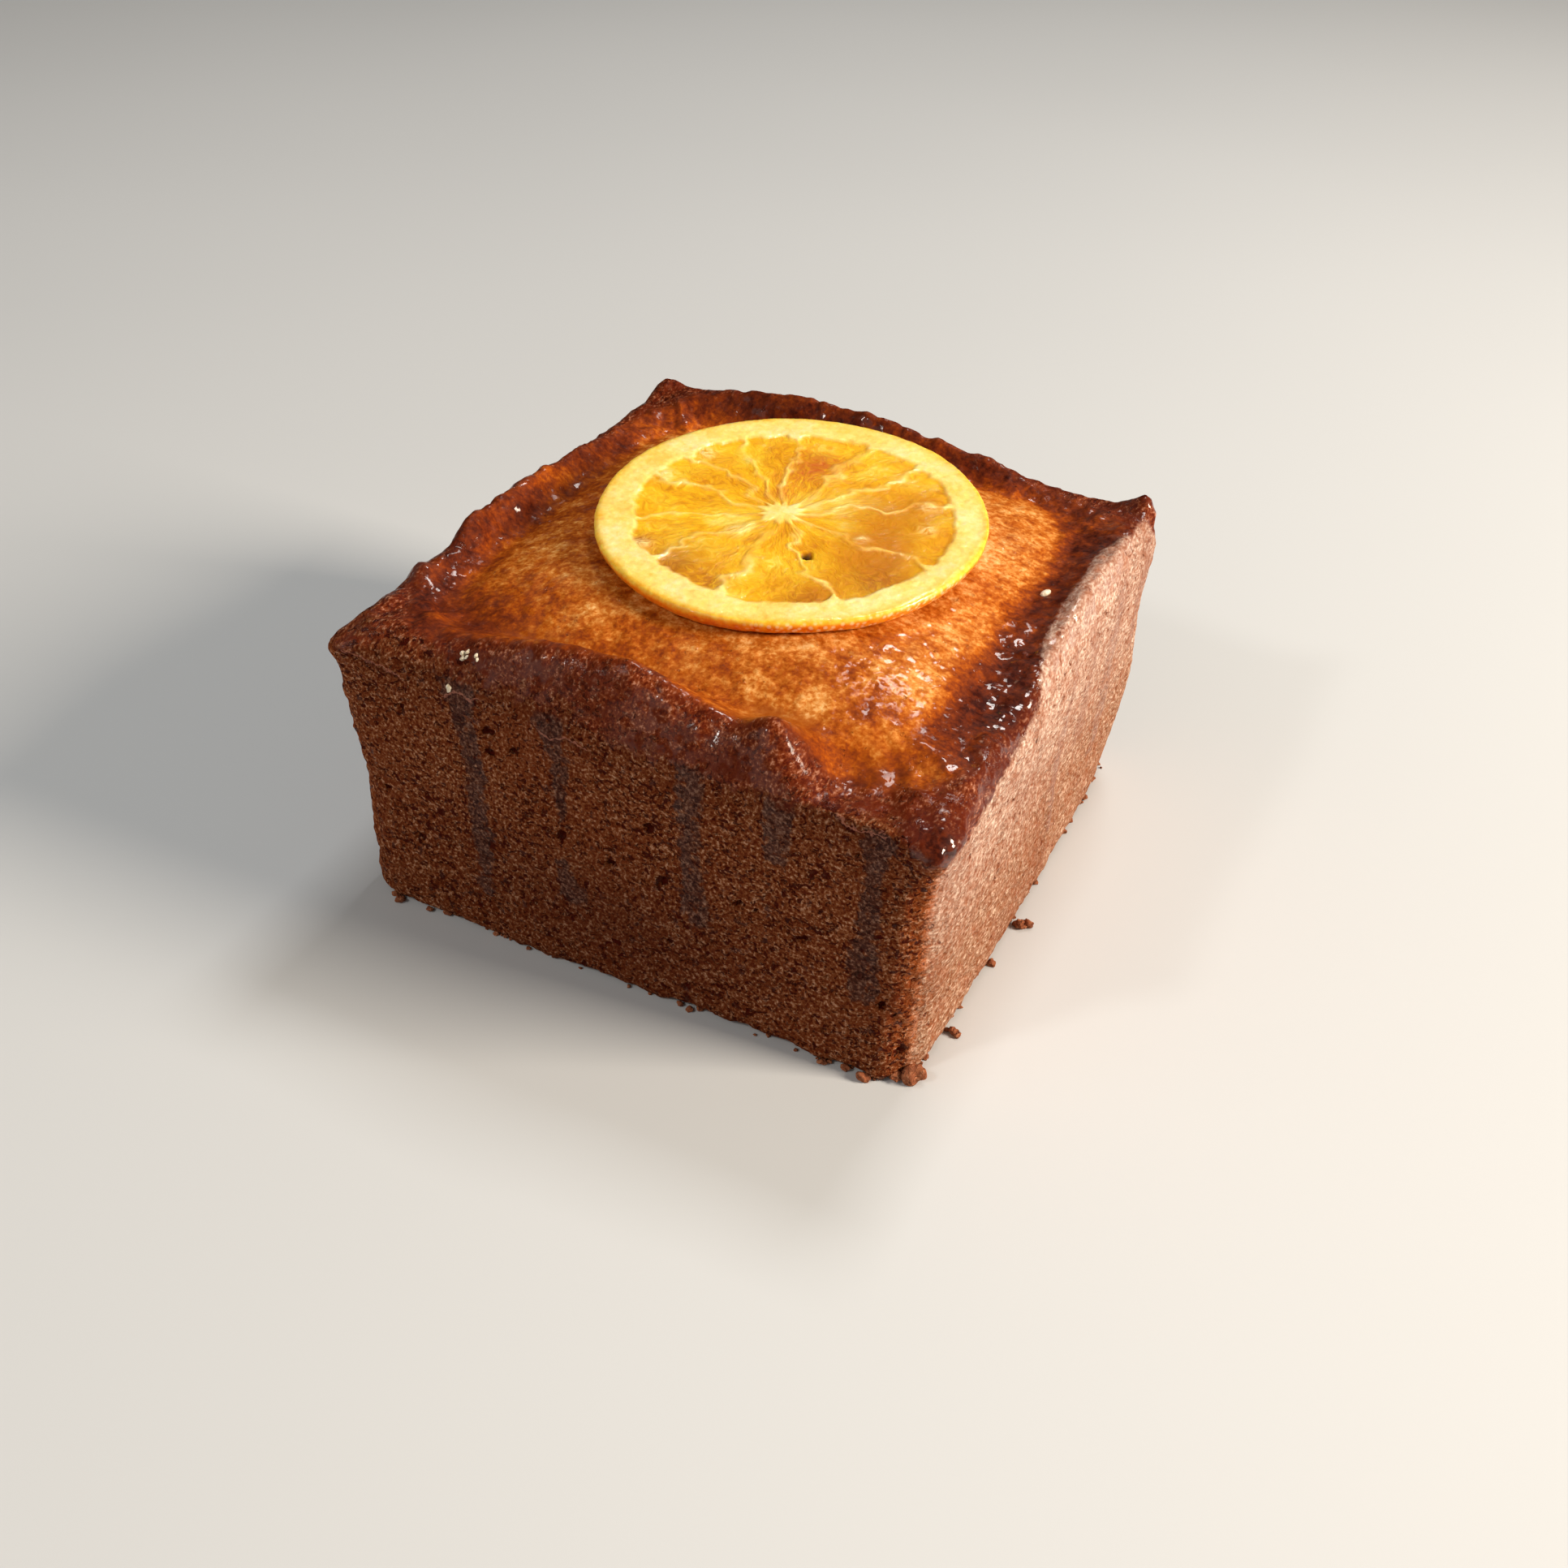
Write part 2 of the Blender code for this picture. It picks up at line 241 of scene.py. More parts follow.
# Heights of the relief, and the small and large pores: spacing, and radii as shares of it.
SWELL = 0.30 * MM
CRUMB_GRAIN = 0.15 * MM
RIM_GRAIN = 0.16 * MM
GLAZE_RIPPLE = 0.16 * MM
GLAZE_GRAIN = 0.08 * MM
DRIP_THICKNESS = 0.10 * MM
DRIP_GRAIN = 0.06 * MM
CORNER_LUMPS = 0.45 * MM
CREST_LUMPS = 0.40 * MM
SMALL_PORES = (1.7 * MM, 0.15, 0.50)
LARGE_PORES = (6.5 * MM, 0.03, 0.20)
SMALL_PORE_DEPTH = 0.28 * MM
LARGE_PORE_DEPTH = 1.0 * MM
PORE_BEND = 0.32 * MM
BASE_RELIEF = 0.4

# The orange slice. The flesh and the pale star in it stand a little off the slice's middle.
SLICE_CENTRE = np.array((0.3 * MM, 4.0 * MM))
SLICE_TOP = 53.3 * MM
SLICE_TILT = 0.054
SLICE_RADIUS = 28.9 * MM
SLICE_TAPER = 1.0 * MM
SLICE_UNEVEN = 0.004
SLICE_THICKNESS = 2.5 * MM
SLICE_EDGE_ROUND = 1.1 * MM
GAP = 0.3 * MM
FLESH_CENTRE = np.array((0.9 * MM, 4.1 * MM))
FLESH_RADIUS = 23.4 * MM
FLESH_DEPTH = 0.28 * MM
STAR_CENTRE = np.array((-0.8 * MM, 3.2 * MM))
STAR_RADIUS = 2.3 * MM
HOLE_CENTRE = np.array((7.2 * MM, -5.2 * MM))
HOLE_RADIUS = 0.75 * MM
HOLE_DEPTH = 1.1 * MM
RIND_WIDTH = 1.2 * MM
RIND_FADE = 2.2 * MM
SAC_HEIGHT = 0.13 * MM
WALL_HEIGHT = 0.14 * MM
GLINT_BLOB_HEIGHT = 0.18 * MM
PITH_HEIGHT = 0.07 * MM
SLICE_SWELL = 0.14 * MM
SIDE_GRAIN = 0.10 * MM
FIBRE_RING = 13.0 * MM
FIBRE_STRETCH = 0.42

# The walls between the segments: headings in degrees, and their least and further half width in
# millimetres. Then the flesh's thin and russet spots, its raised spots with a painted highlight,
# and its deeper orange spots: (x, y, radius).
MEMBRANES = (-148, -122, -85, -48, -7, 31, 56, 79, 111, 133, 155, 178)
MEMBRANE_WIDTH = (0.38, 0.3)
THIN_SPOTS = (
    (-7.9, -17, 3.6), (-1.6, -17.6, 2.6), (12, -15.9, 3), (19.2, -6.2, 4.2), (-16.1, -12.6, 2.4),
)
RUSSET_SPOTS = ((-2.6, 15, 3.6), (-1.5, 20.1, 3.4), (-3.4, 8.3, 2.4))
GLINT_BLOB_SPOTS = (
    (-14.9, -13.2, 1.3), (-21.6, 5.2, 1.4), (-19.1, 13.9, 1.4), (17.3, 14.6, 1.2), (19.8, 8.7, 1.1),
    (12.4, 2.1, 0.9), (-4.7, -3.8, 1.3), (-9, 26, 1.2),
)
DEEP_SPOTS = ((14, 12, 7), (18, -4, 6.5), (-8, -15, 6), (-3, 18, 4), (13, -14, 5), (15, 2, 6))

# Crumbs that came off and cling to the foot: (x, y, radius) in millimetres, and many small ones.
CRUMBS = (
    (43.2, -42.2, 1.7), (41.6, -43.6, 1.1), (31.5, -45.6, 0.6), (37.7, -45.6, 0.9), (-39.1, -45.6, 0.8),
    (45.8, -6, 0.9), (46.6, -5.4, 0.8), (44.9, -16.1, 0.7), (45.2, -31.6, 0.7), (46, -32, 0.5),
)
SMALL_CRUMBS = 130
SMALL_CRUMB_RADIUS = (0.25, 0.70)
SMALL_CRUMB_OFFSET = (-0.9, 0.1)
CRUMB_SHAPE = (1.0, 0.85, 0.75)

# Pale flecks that stuck to the glaze: (x, y, height to look from, length, width, thickness), in
# millimetres. Those above DROPPED_FROM lie where they would fall. The last one is a seed.
FLECKS = (
    (-25.1, -42.5, 55, 0.48, 0.34, 0.40), (-24.5, -42.3, 55, 0.36, 0.26, 0.34),
    (-24.8, -43.1, 55, 0.34, 0.28, 0.30), (-24.3, -42.9, 55, 0.26, 0.22, 0.24),
    (-22.9, -42.7, 55, 0.34, 0.22, 0.30), (-22.5, -43, 55, 0.26, 0.20, 0.22),
    (-25.4, -46.5, 43.4, 0.56, 0.36, 0.26), (37.7, 11, 55, 0.90, 0.56, 0.38),
)
DROPPED_FROM = 50.0
FLECK_ROUGHNESS = 0.5
SEED_ROUGHNESS = 0.05
FLECK_LIFT = 0.3

FLOOR_SIZE = 6.0

# Lights: name, where it stands seen from the cake, size in metres, watts and colour.
LIGHT_DISTANCE = 0.9
LIGHT_TARGET = (0, 0, 0.03)
LIGHTS = (
    ("sun", (0.86, 0.16, 0.47), 0.28, 13.0, (1.0, 0.84, 0.68)),
    ("window", (0.03, 0.50, 0.85), 0.22, 2.7, (1.0, 0.96, 0.92)),
    ("room_front", (-0.45, -0.80, 0.35), 1.2, 2.7, (1.0, 0.93, 0.86)),
    ("lamp_front", (-0.35, -0.62, 0.70), 0.09, 1.3, (1.0, 0.93, 0.86)),
)
ROOM_COLOUR = (1.0, 0.93, 0.86, 1.0)
ROOM_STRENGTH = 0.12

# The camera: azimuth, elevation and roll in degrees, the point it looks at, and its lens.
CAMERA_ANGLES = (24.998, 37.136, 2.314)
CAMERA_DISTANCE = 238.86 * MM
CAMERA_TARGET = (13.806 * MM, -23.661 * MM, 27.0 * MM)
CAMERA_SENSOR = 36.0
CAMERA_LENS = 39.13

# Mesh steps.
PLAN_STEPS = 186
HEIGHT_STEPS = 84
SLICE_TURNS = 600
SLICE_RINGS = 96
SLICE_SIDE_STEPS = 12
SLICE_UNDER_RINGS = 10
TINY = 1e-6

# The cake's bake map: one rectangle for the top, one for each side, and a square for the base.
MAP_MARGIN = 0.004
MAP_TOP_CORNER = (0.0, 0.5)
MAP_SIDE_CORNERS = ((0.5, 0.75), (0.5, 0.5), (0.0, 0.25), (0.5, 0.25))
MAP_BASE_CENTRE = 0.12
MAP_BASE_SIZE = 0.22

# The crumb's fine patterns: sizes, depths of their bumps, and factors on the places they are read at,
# which draw a pattern out where they are below 1.
GRAIN_SIZE = 0.24 * MM
GRAIN_STOPS = (0.34, 0.42, 0.50, 0.58, 0.67)
GRAIN_DEPTH = 0.5 * MM
PIT_SIZE = 0.46 * MM
BEAD_SIZE = 0.75 * MM
BEAD_DEPTH = 0.22 * MM
CRUMB_STRETCH = (1.0, 0.6, 1.0)
PIT_STRETCH = (0.9, 0.5, 1.15)
SMEAR_STRETCH = (0.45, 0.45, 1.3)


# ---- Numbers: noise, hollows and soft steps, all for arrays of points.


def random_numbers(cells, seed):
    """A number from 0 to 1 for each whole-number cell, always the same for the same seed."""
    mixed = cells[..., 0] * 374761393 + cells[..., 1] * 668265263 + cells[..., 2] * 1440662683
    mixed = (mixed + seed * 974634777) & 0xFFFFFFFF
    mixed = ((mixed ^ (mixed >> 13)) * 1274126177) & 0xFFFFFFFF
    mixed = ((mixed ^ (mixed >> 15)) * 668265263) & 0xFFFFFFFF
    return ((mixed ^ (mixed >> 16)) & 0xFFFFFF) / 0xFFFFFF


def noise(points, size, seed):
    """Smooth noise from -1 to 1, with bumps of about this size."""
    places = points / size
    cells = np.floor(places).astype(np.int64)
    part = soft_step(places - cells)
    total = np.zeros(len(points))
    for step in np.ndindex(2, 2, 2):
        weight = np.prod(np.where(step, part, 1 - part), axis=1)
        total += weight * random_numbers(cells + step, seed)
    return 2 * total - 1


def rough_noise(points, size, seed, octaves=3):
    """Noise with finer noise on it, each finer one half as high."""
    total = np.zeros(len(points))
    for octave in range(octaves):
        total += noise(points, size / 2**octave, seed + octave) / 2**octave
    return total / (2 - 2 ** (1 - octaves))


def hollows(points, size, least, most, seed, rarity):
    """Depth from 0 to 1 of round hollows, one to a cell, with radii as shares of the cell."""
    places = points / size
    own = np.floor(places).astype(np.int64)
    deepest = np.zeros(len(points))
    for step in np.ndindex(3, 3, 3):
        cells = own + step - 1
        jitter = np.stack([random_numbers(cells, seed + axis) for axis in range(3)], axis=-1)
        radius = least + (most - least) * random_numbers(cells, seed + 3) ** rarity
        away = np.linalg.norm(places - cells - jitter, axis=1)
        deepest = np.maximum(deepest, 1 - (away / radius) ** 2)
    return deepest


def soft_step(value):
    """Rises smoothly from 0 to 1 as the value does."""
    value = np.clip(value, 0, 1)
    return value * value * (3 - 2 * value)


def between(value, low, high, soft):
    """1 where the value is from low to high, falling softly to 0 outside."""
    return soft_step((value - low) / soft + 0.5) * soft_step((high - value) / soft + 0.5)


# ---- The cake's smooth shape, over the unit square (u, v) from -1 to 1.


def corner_pull(u, v, radius):
    """How far a ray through (u, v) of a unit square is pulled in by corners of this radius."""
    longer = np.maximum(np.maximum(np.abs(u), np.abs(v)), TINY)
    slant = np.minimum(np.abs(u), np.abs(v)) / longer
    centre = 1 - radius
    run = 1 + slant**2
    under_root = (centre * (1 + slant)) ** 2 - run * (2 * centre**2 - radius**2)
    on_arc = (centre * (1 + slant) + np.sqrt(np.maximum(under_root, 0))) / run
    return np.where(slant > centre, on_arc, 1.0)


def waves(along, phase):
    """An uneven line between -1 and 1, made of waves that never fall in step."""
    total = np.zeros_like(along)
    for order, length in enumerate(WAVE_LENGTHS, start=1):
        total += np.sin(2 * np.pi * along / length + order * phase) / (order + 1)
    return total


def rim_rise(side, along):
    """Height of this side's crest over the edge of its face."""
    rise = np.full_like(along, RIM[side]["rise"])
    for place, height, spread in RIM[side]["humps"]:
        rise += height * MM * np.exp(-(((along / MM - place) / spread) ** 2) / 2)
    phase = 1.0 + list(RIM).index(side)
    return rise + RIM_WAVE * waves(along, phase)


def nearness(u, v):
    """How near a point of the unit square is to each side: 1 on it and -1 on the opposite side."""
    return {"front": -v, "back": v, "left": -u, "right": u}


def side_shares(u, v):
    """How much each side rules a point of the unit square."""
    shares = {}
    for side, near in nearness(u, v).items():
        shares[side] = np.maximum(near, LEAST_NEARNESS) ** SIDE_SHARE_POWER
    total = sum(shares.values())
    return {side: share / total for side, share in shares.items()}


def shared(shares, name):
    """A value of the rim that each side has its own of, blended at the corners."""
    return sum(shares[side] * RIM[side][name] for side in RIM)


def blend_of_corners(u, v, values):
    """Values given at the four corners, spread evenly over the unit square."""
    blended = np.zeros_like(u)
    for (sign_u, sign_v), value in values.items():
        blended += value * (1 + sign_u * u) * (1 + sign_v * v) / 4
    return blended


def dome(x, y):
    """Height of the risen middle, which falls to a valley inside the rim."""
    half = TOP_WIDTH / 2
    fall_x = 1 - np.minimum(np.abs(x - DOME_CENTRE[0]) / half, 1) ** DOME_POWER
    fall_y = 1 - np.minimum(np.abs(y - DOME_CENTRE[1]) / half, 1) ** DOME_POWER
    return VALLEY_HEIGHT + (DOME_HEIGHT - VALLEY_HEIGHT) * fall_x * fall_y


def inside_crest(u, v, shares):
    """How far a point of the top lies inside the crest of the rim. Outside it is below 0."""
    powers = np.abs(u) ** RIM_CORNER_POWER + np.abs(v) ** RIM_CORNER_POWER
    return TOP_WIDTH / 2 * (1 - powers ** (1 / RIM_CORNER_POWER)) - shared(shares, "inset")


def top_of_cake(u, v):
    """X, Y and Z of the top: dome, valley, rim and its outer shoulder."""
    half = TOP_WIDTH / 2
    pull = corner_pull(u, v, TOP_CORNER_RADIUS / half)
    x = u * pull * half
    y = v * pull * half
    shares = side_shares(u, v)
    along = {"front": x, "back": x, "left": y, "right": y}
    rise = sum(shares[side] * rim_rise(side, along[side]) for side in RIM)
    for (sign_u, sign_v), (height, width) in CORNER_PEAK.items():
        away = np.hypot(x - sign_u * half, y - sign_v * half) - PEAK_INSET * TOP_CORNER_RADIUS
        rise = rise + height * np.exp(-((np.maximum(away, 0) / width) ** 2))
    crest = blend_of_corners(u, v, EDGE_HEIGHT) + rise
    on_rim = 1 - soft_step(inside_crest(u, v, shares) / shared(shares, "slope"))
    middle = dome(x, y)
    from_face = half * (1 - np.maximum(np.abs(u), np.abs(v)))
    over_edge = np.maximum(1 - from_face / shared(shares, "inset"), 0) ** 2
    return np.stack([x, y, middle + (crest - middle) * on_rim - rise * over_edge], axis=-1)


def side_of_cake(u, v, level):
    """X, Y and Z of the four faces. level runs from 0 at the base to 1 at the top edge."""
    z = level * blend_of_corners(u, v, EDGE_HEIGHT)
    half = (BASE_WIDTH + (TOP_WIDTH - BASE_WIDTH) * level) / 2
    into_round = np.maximum(1 - z / BASE_ROUND, 0)
    half = half - BASE_ROUND * (1 - np.sqrt(1 - into_round**2))
    half = half + CRUST_LIP * np.sin(np.pi * level**LIP_POWER)
    swell = np.sin(FACE_SWELLS_ROUND * np.arctan2(v, u) + FACE_SWELLS_UP * level)
    half = half + FACE_WAVE * swell * np.sin(np.pi * level)
    radius = BASE_CORNER_RADIUS + (TOP_CORNER_RADIUS - BASE_CORNER_RADIUS) * level
    pull = corner_pull(u, v, radius * 2 / TOP_WIDTH)
    return np.stack([u * pull * half, v * pull * half, z], axis=-1)


# ---- Meshes.


def quads(rows):
    """The four corners of each cell of a grid, in order round the cell."""
    corners = (rows[:-1, :-1], rows[:-1, 1:], rows[1:, 1:], rows[1:, :-1])
    return np.stack(corners, axis=2).reshape(-1, 4, *rows.shape[2:])


def mesh_object(name, points, faces, places=None):
    """A smooth object of these points and faces. places are its bake map's corners, in order."""
    mesh = bpy.data.meshes.new(name)
    mesh.from_pydata([tuple(p) for p in points], [], [tuple(f) for f in faces])
    if places is not None:
        layer = mesh.uv_layers.new(name="OFBake")
        layer.data.foreach_set("uv", np.ascontiguousarray(places, dtype=np.float32).ravel())
    mesh.shade_smooth()
    thing = bpy.data.objects.new(name, mesh)
    bpy.context.scene.collection.objects.link(thing)
    return thing


def array_of(items, field):
    """Three numbers of each item, such as a vertex's place, as an array."""
    flat = np.empty(len(items) * 3, dtype=np.float32)
    items.foreach_get(field, flat)
    return flat.reshape(-1, 3).astype(float)


def set_points(thing, points):
    """Moves the object's points."""
    thing.data.vertices.foreach_set("co", points.astype(np.float32).ravel())
    thing.data.update()


def set_masks(thing, masks):
    """Stores the masks, one number for each vertex, for the materials to read."""
    for name, values in masks.items():
        layer = thing.data.attributes.new(name, "FLOAT", "POINT")
        layer.data.foreach_set("value", np.asarray(values, dtype=np.float32))


def set_vector(thing, name, values):
    """Stores three numbers for each vertex, for the materials to read."""
    layer = thing.data.attributes.new(name, "FLOAT_VECTOR", "POINT")
    layer.data.foreach_set("vector", np.asarray(values, dtype=np.float32).ravel())


def strip_map(row_count, column_count, corner, size):
    """A grid of map places that fills a rectangle of the bake map, with a thin margin."""
    across, up = np.meshgrid(np.linspace(0, 1, column_count), np.linspace(0, 1, row_count))
    low = np.array(corner) + MAP_MARGIN
    return low + np.stack([across, up], axis=-1) * (np.array(size) - 2 * MAP_MARGIN)


def base_map(points):
    """Map places of points of the base, seen from above."""
    return MAP_BASE_CENTRE + points[..., :2] / BASE_WIDTH * MAP_BASE_SIZE


def cake_rows(top):
    """Numbers of the points on the faces, row by row from the top's edge to the base."""
    edge = np.concatenate([top[0, :-1], top[:-1, -1], top[-1, :0:-1], top[:0:-1, 0]])
    below = top.size + np.arange((HEIGHT_STEPS + 1) * len(edge)).reshape(-1, len(edge))
    return np.concatenate([edge[None], below])


def smooth_cake():
    """The cake as one closed mesh without its grain, with each vertex's (u, v) and level."""
    steps = np.linspace(-1, 1, PLAN_STEPS + 1)
    u, v = np.meshgrid(steps, steps)
    top = np.arange(u.size).reshape(u.shape)
    rows = cake_rows(top)
    plan = np.stack([u.ravel(), v.ravel()], axis=1)
    edge_plan = plan[rows[0]]
    levels = 1 - np.arange(1, HEIGHT_STEPS + 1) / HEIGHT_STEPS
    sides = [side_of_cake(*edge_plan.T, np.full(len(edge_plan), level)) for level in levels]
    narrowed = 1 - 2 * BASE_ROUND / BASE_WIDTH
    base = sides[-1] * (narrowed, narrowed, 0)
    points = np.concatenate([top_of_cake(u, v).reshape(-1, 3), *sides, base])

    faces = [quads(top)]
    places = [quads(strip_map(*top.shape, MAP_TOP_CORNER, (0.5, 0.5)))]
    for side, corner in enumerate(MAP_SIDE_CORNERS):
        columns = np.arange(side * PLAN_STEPS, (side + 1) * PLAN_STEPS + 1) % len(edge_plan)
        faces.append(quads(rows[-2::-1, columns]))
        places.append(quads(strip_map(HEIGHT_STEPS + 1, len(columns), corner, (0.5, 0.25))))
    foot = np.column_stack([rows[:-3:-1], rows[:-3:-1, 0]])
    faces.append(quads(foot))
    places.append(quads(base_map(points[foot])))
    floor = rows[-1, ::-1]
    corners = np.concatenate([*(group.reshape(-1, 2) for group in places), base_map(points[floor])])
    all_faces = [*np.concatenate(faces), floor]
    thing = mesh_object("ginger_cake", points, all_faces, corners)
    all_levels = np.repeat([1.0, *levels, 0.0], [top.size] + [len(edge_plan)] * (HEIGHT_STEPS + 1))
    return thing, np.concatenate([plan] + [edge_plan] * (HEIGHT_STEPS + 1)), all_levels


def along_side(side, points):
    """Where the points lie along this side, and how high."""
    axis = 0 if side in ("front", "back") else 1
    return points[:, axis] / MM, points[:, 2] / MM


def drip_mask(points, facing):
    """1 on the syrup that ran down the faces."""
    wobble = 0.8 * noise(points, 1.3 * MM, 71) + 0.7 * noise(points, 3.0 * MM, 72)
    mask = np.zeros(len(points))
    for side, runs in DRIPS.items():
        along, height = along_side(side, points)
        for run in runs:
            run = np.array(run)[::-1]
            centre = np.interp(height, run[:, 1], run[:, 0])
            half_width = np.interp(height, run[:, 1], run[:, 2])
            below = np.maximum(run[0, 1] - height, 0)
            over = np.maximum(height - run[-1, 1], 0)
            away = np.hypot(along - centre, np.maximum(below, over)) - half_width + 0.5 * wobble
            mask = np.maximum(mask, facing[side] * soft_step(0.5 - away / DRIP_SOFTNESS))
    return mask


def spot(points, x, y, radius):
    """A round soft spot, seen from above. Sizes in millimetres."""
    away = np.hypot(points[:, 0] / MM - x, points[:, 1] / MM - y)
    return np.exp(-((away / radius) ** 2))


def spots_over(points, spots):
    """1 in the middle of the nearest of these soft spots."""
    return np.max([spot(points, *place) for place in spots], axis=0)


def further_out(points, spots):
    """How much further out something reaches at each point, in metres."""
    return sum(further * MM * spot(points, x, y, radius) for x, y, radius, further in spots)


def browning(points, inside, shares):
    """How far the top is browned, from 0 for pale amber to 1 for nearly black."""
    wander = 0.9 * MM * noise(points, 4.0 * MM, 11) + 0.5 * MM * noise(points, 1.7 * MM, 12)
    soft = shared(shares, "browning")
    on_rim = soft_step((shared(shares, "browned") - inside - wander) / soft + 0.5)
    brown = DOME_BAKE + (shared(shares, "bake") - DOME_BAKE) * on_rim
    brown += OUTER_BAKE * shares["front"] * np.clip(-inside / OUTER_REACH, 0, 1)
    for x, y, radius, change in BAKE_SPOTS:
        brown += change * spot(points, x, y, radius)
    return brown + 0.10 * rough_noise(points, 7.0 * MM, 15)


def crust_cover(points, inside, shares):
    """1 under glaze or crust, 0 on the open crumb, with a wandering edge."""
    reach = shared(shares, "crust") + further_out(points, CRUST_SPOTS)
    wander = 0.28 * noise(points, 5.0 * MM, 13) + 0.18 * noise(points, 1.9 * MM, 14)
    return soft_step((inside + reach) / shared(shares, "fade") + wander + 0.5)


def film_distance(points, facing):
    """Height over the nearest edge of dried syrup, in millimetres, up to FILM_REACH."""
    along, height = along_side("front", points)
    nearest = np.full(len(points), FILM_REACH)
    for edge in FILM_EDGES:
        places, heights = np.array(edge).T
        over = height - np.interp(along, places, heights)
        beyond = np.maximum(places[0] - along, 0) + np.maximum(along - places[-1], 0)
        over = over + np.copysign(4 * beyond, over)
        nearest = np.where(np.abs(over) < np.abs(nearest), over, nearest)
    return np.where(facing["front"] > 0.5, nearest, FILM_REACH)


def on_rim_top(inside, shares):
    """1 on the browned part of the rim, 0 on the dome."""
    return soft_step((shared(shares, "browned") + 1.0 * MM - inside) / (2.0 * MM))


def low_front_shade_mask(points):
    """Painted shade low in the middle of the front face."""
    place, height, half_width, half_height = LOW_FRONT_SHADE
    across = ((points[:, 0] / MM - place) / half_width) ** 2
    return np.exp(-across - ((points[:, 2] / MM - height) / half_height) ** 2)


def cake_masks(points, plan, levels):
    """Where the cake is crusted, browned, pooled with glaze, dripped on, soaked or worn, and where
    sunlight, glow and shade are painted on it.
    """
    u, v = plan.T
    shares = side_shares(u, v)
    on_top = levels > 1 - TINY
    down = (1 - levels) * blend_of_corners(u, v, EDGE_HEIGHT)
    inside = inside_crest(u, v, shares) - down
    crust = crust_cover(points, inside, shares)
    glazed = inside + further_out(points, GLAZE_SPOTS)
    start, fade = ON_FACE
    facing = {side: soft_step((near - start) / fade) for side, near in nearness(u, v).items()}
    drip = drip_mask(points, facing) * (down > 0.2 * MM)
    pool = between(inside, *POOL_BAND, 2.5 * MM) * on_top
    pool *= shares["front"] * soft_step(0.6 + 0.7 * noise(points, 9.0 * MM, 21))
    corner = spots_over(points, SHINING_CORNERS)
    shoulder = shares["front"] * soft_step((0.5 * MM - inside) / (2.0 * MM)) * (1 - corner)
    start, fade = ON_EDGE
    upright = soft_step((np.minimum(np.abs(u), np.abs(v)) - start) / fade)
    # Painted sunlight: the right face, and the top just inside its crest, get paler sunlit colours.
    painted_sunlight = soft_step((shares["right"] - 0.5) / 0.12) * soft_step((PAINTED_SUN_REACH - inside) / (1.2 * MM))
    painted_low_shade = facing["front"] * low_front_shade_mask(points)
    return {
        "crust": crust,
        "inner": soft_step(glazed / INNER_FADE + 0.5 + 0.3 * noise(points, 1.8 * MM, 23)),
        "bake": browning(points, glazed, shares),
        "drip": drip,
        "film": film_distance(points, facing),
        "pool": pool,
        "beads": spots_over(points, BEADED),
        "corner": corner,
        "shine": 1 - SHOULDER_DULLING * shoulder,
        "crest": shares["right"] * between(inside, *CREST_BAND, 1.0 * MM),
        # Painted shade: darker under the rim, and low in the middle of the front face.
        "shade": (1 - painted_sunlight) * np.maximum(RIM_SHADE * np.exp(-down / SHADE_DEPTH), painted_low_shade),
        "soak": soft_step(0.10 + 1.1 * noise(points, 13.0 * MM, 41)),
        # Upright edges: a little browning all round, and a painted glow of light through the thin edge,
        # most on the sunlit right face.
        "edge": upright * ~on_top * (0.3 + 0.7 * painted_sunlight) * (0.7 + 0.3 * noise(points, 4.0 * MM, 43)),
        "painted_sunlight": painted_sunlight,
        # The painted sunlight is paler higher up the right face.
        "pale": painted_sunlight * soft_step((points[:, 2] - PALE_FROM) / PALE_OVER),
        "crumb": (1 - crust) * (1 - 0.75 * drip),
        "lumps": crust * on_rim_top(inside, shares),
    }


def pore_depths(points, plan):
    """Depth from 0 to 1 of the crumb's small and large pores, which lie wider than high."""
    squeezed = points * (1, 1, 1.25)
    bend = np.stack([noise(squeezed, 1.1 * MM, seed) for seed in (51, 52, 53)], axis=1)
    squeezed = squeezed + PORE_BEND * bend
    small = np.maximum(hollows(squeezed, *SMALL_PORES, 61, 1.2), 0)
    large = np.maximum(hollows(squeezed, *LARGE_PORES, 67, 3.0), 0)
    near = nearness(*plan.T)
    bent = points + 0.5 * MM * bend
    for side, place, height, radius in PORES:
        along, up = along_side(side, bent)
        away = np.hypot(along - place, 1.3 * (up - height)) / radius
        large = np.maximum(large, (near[side] > 1 - TINY) * np.maximum(1 - away**2, 0))
    return small, large


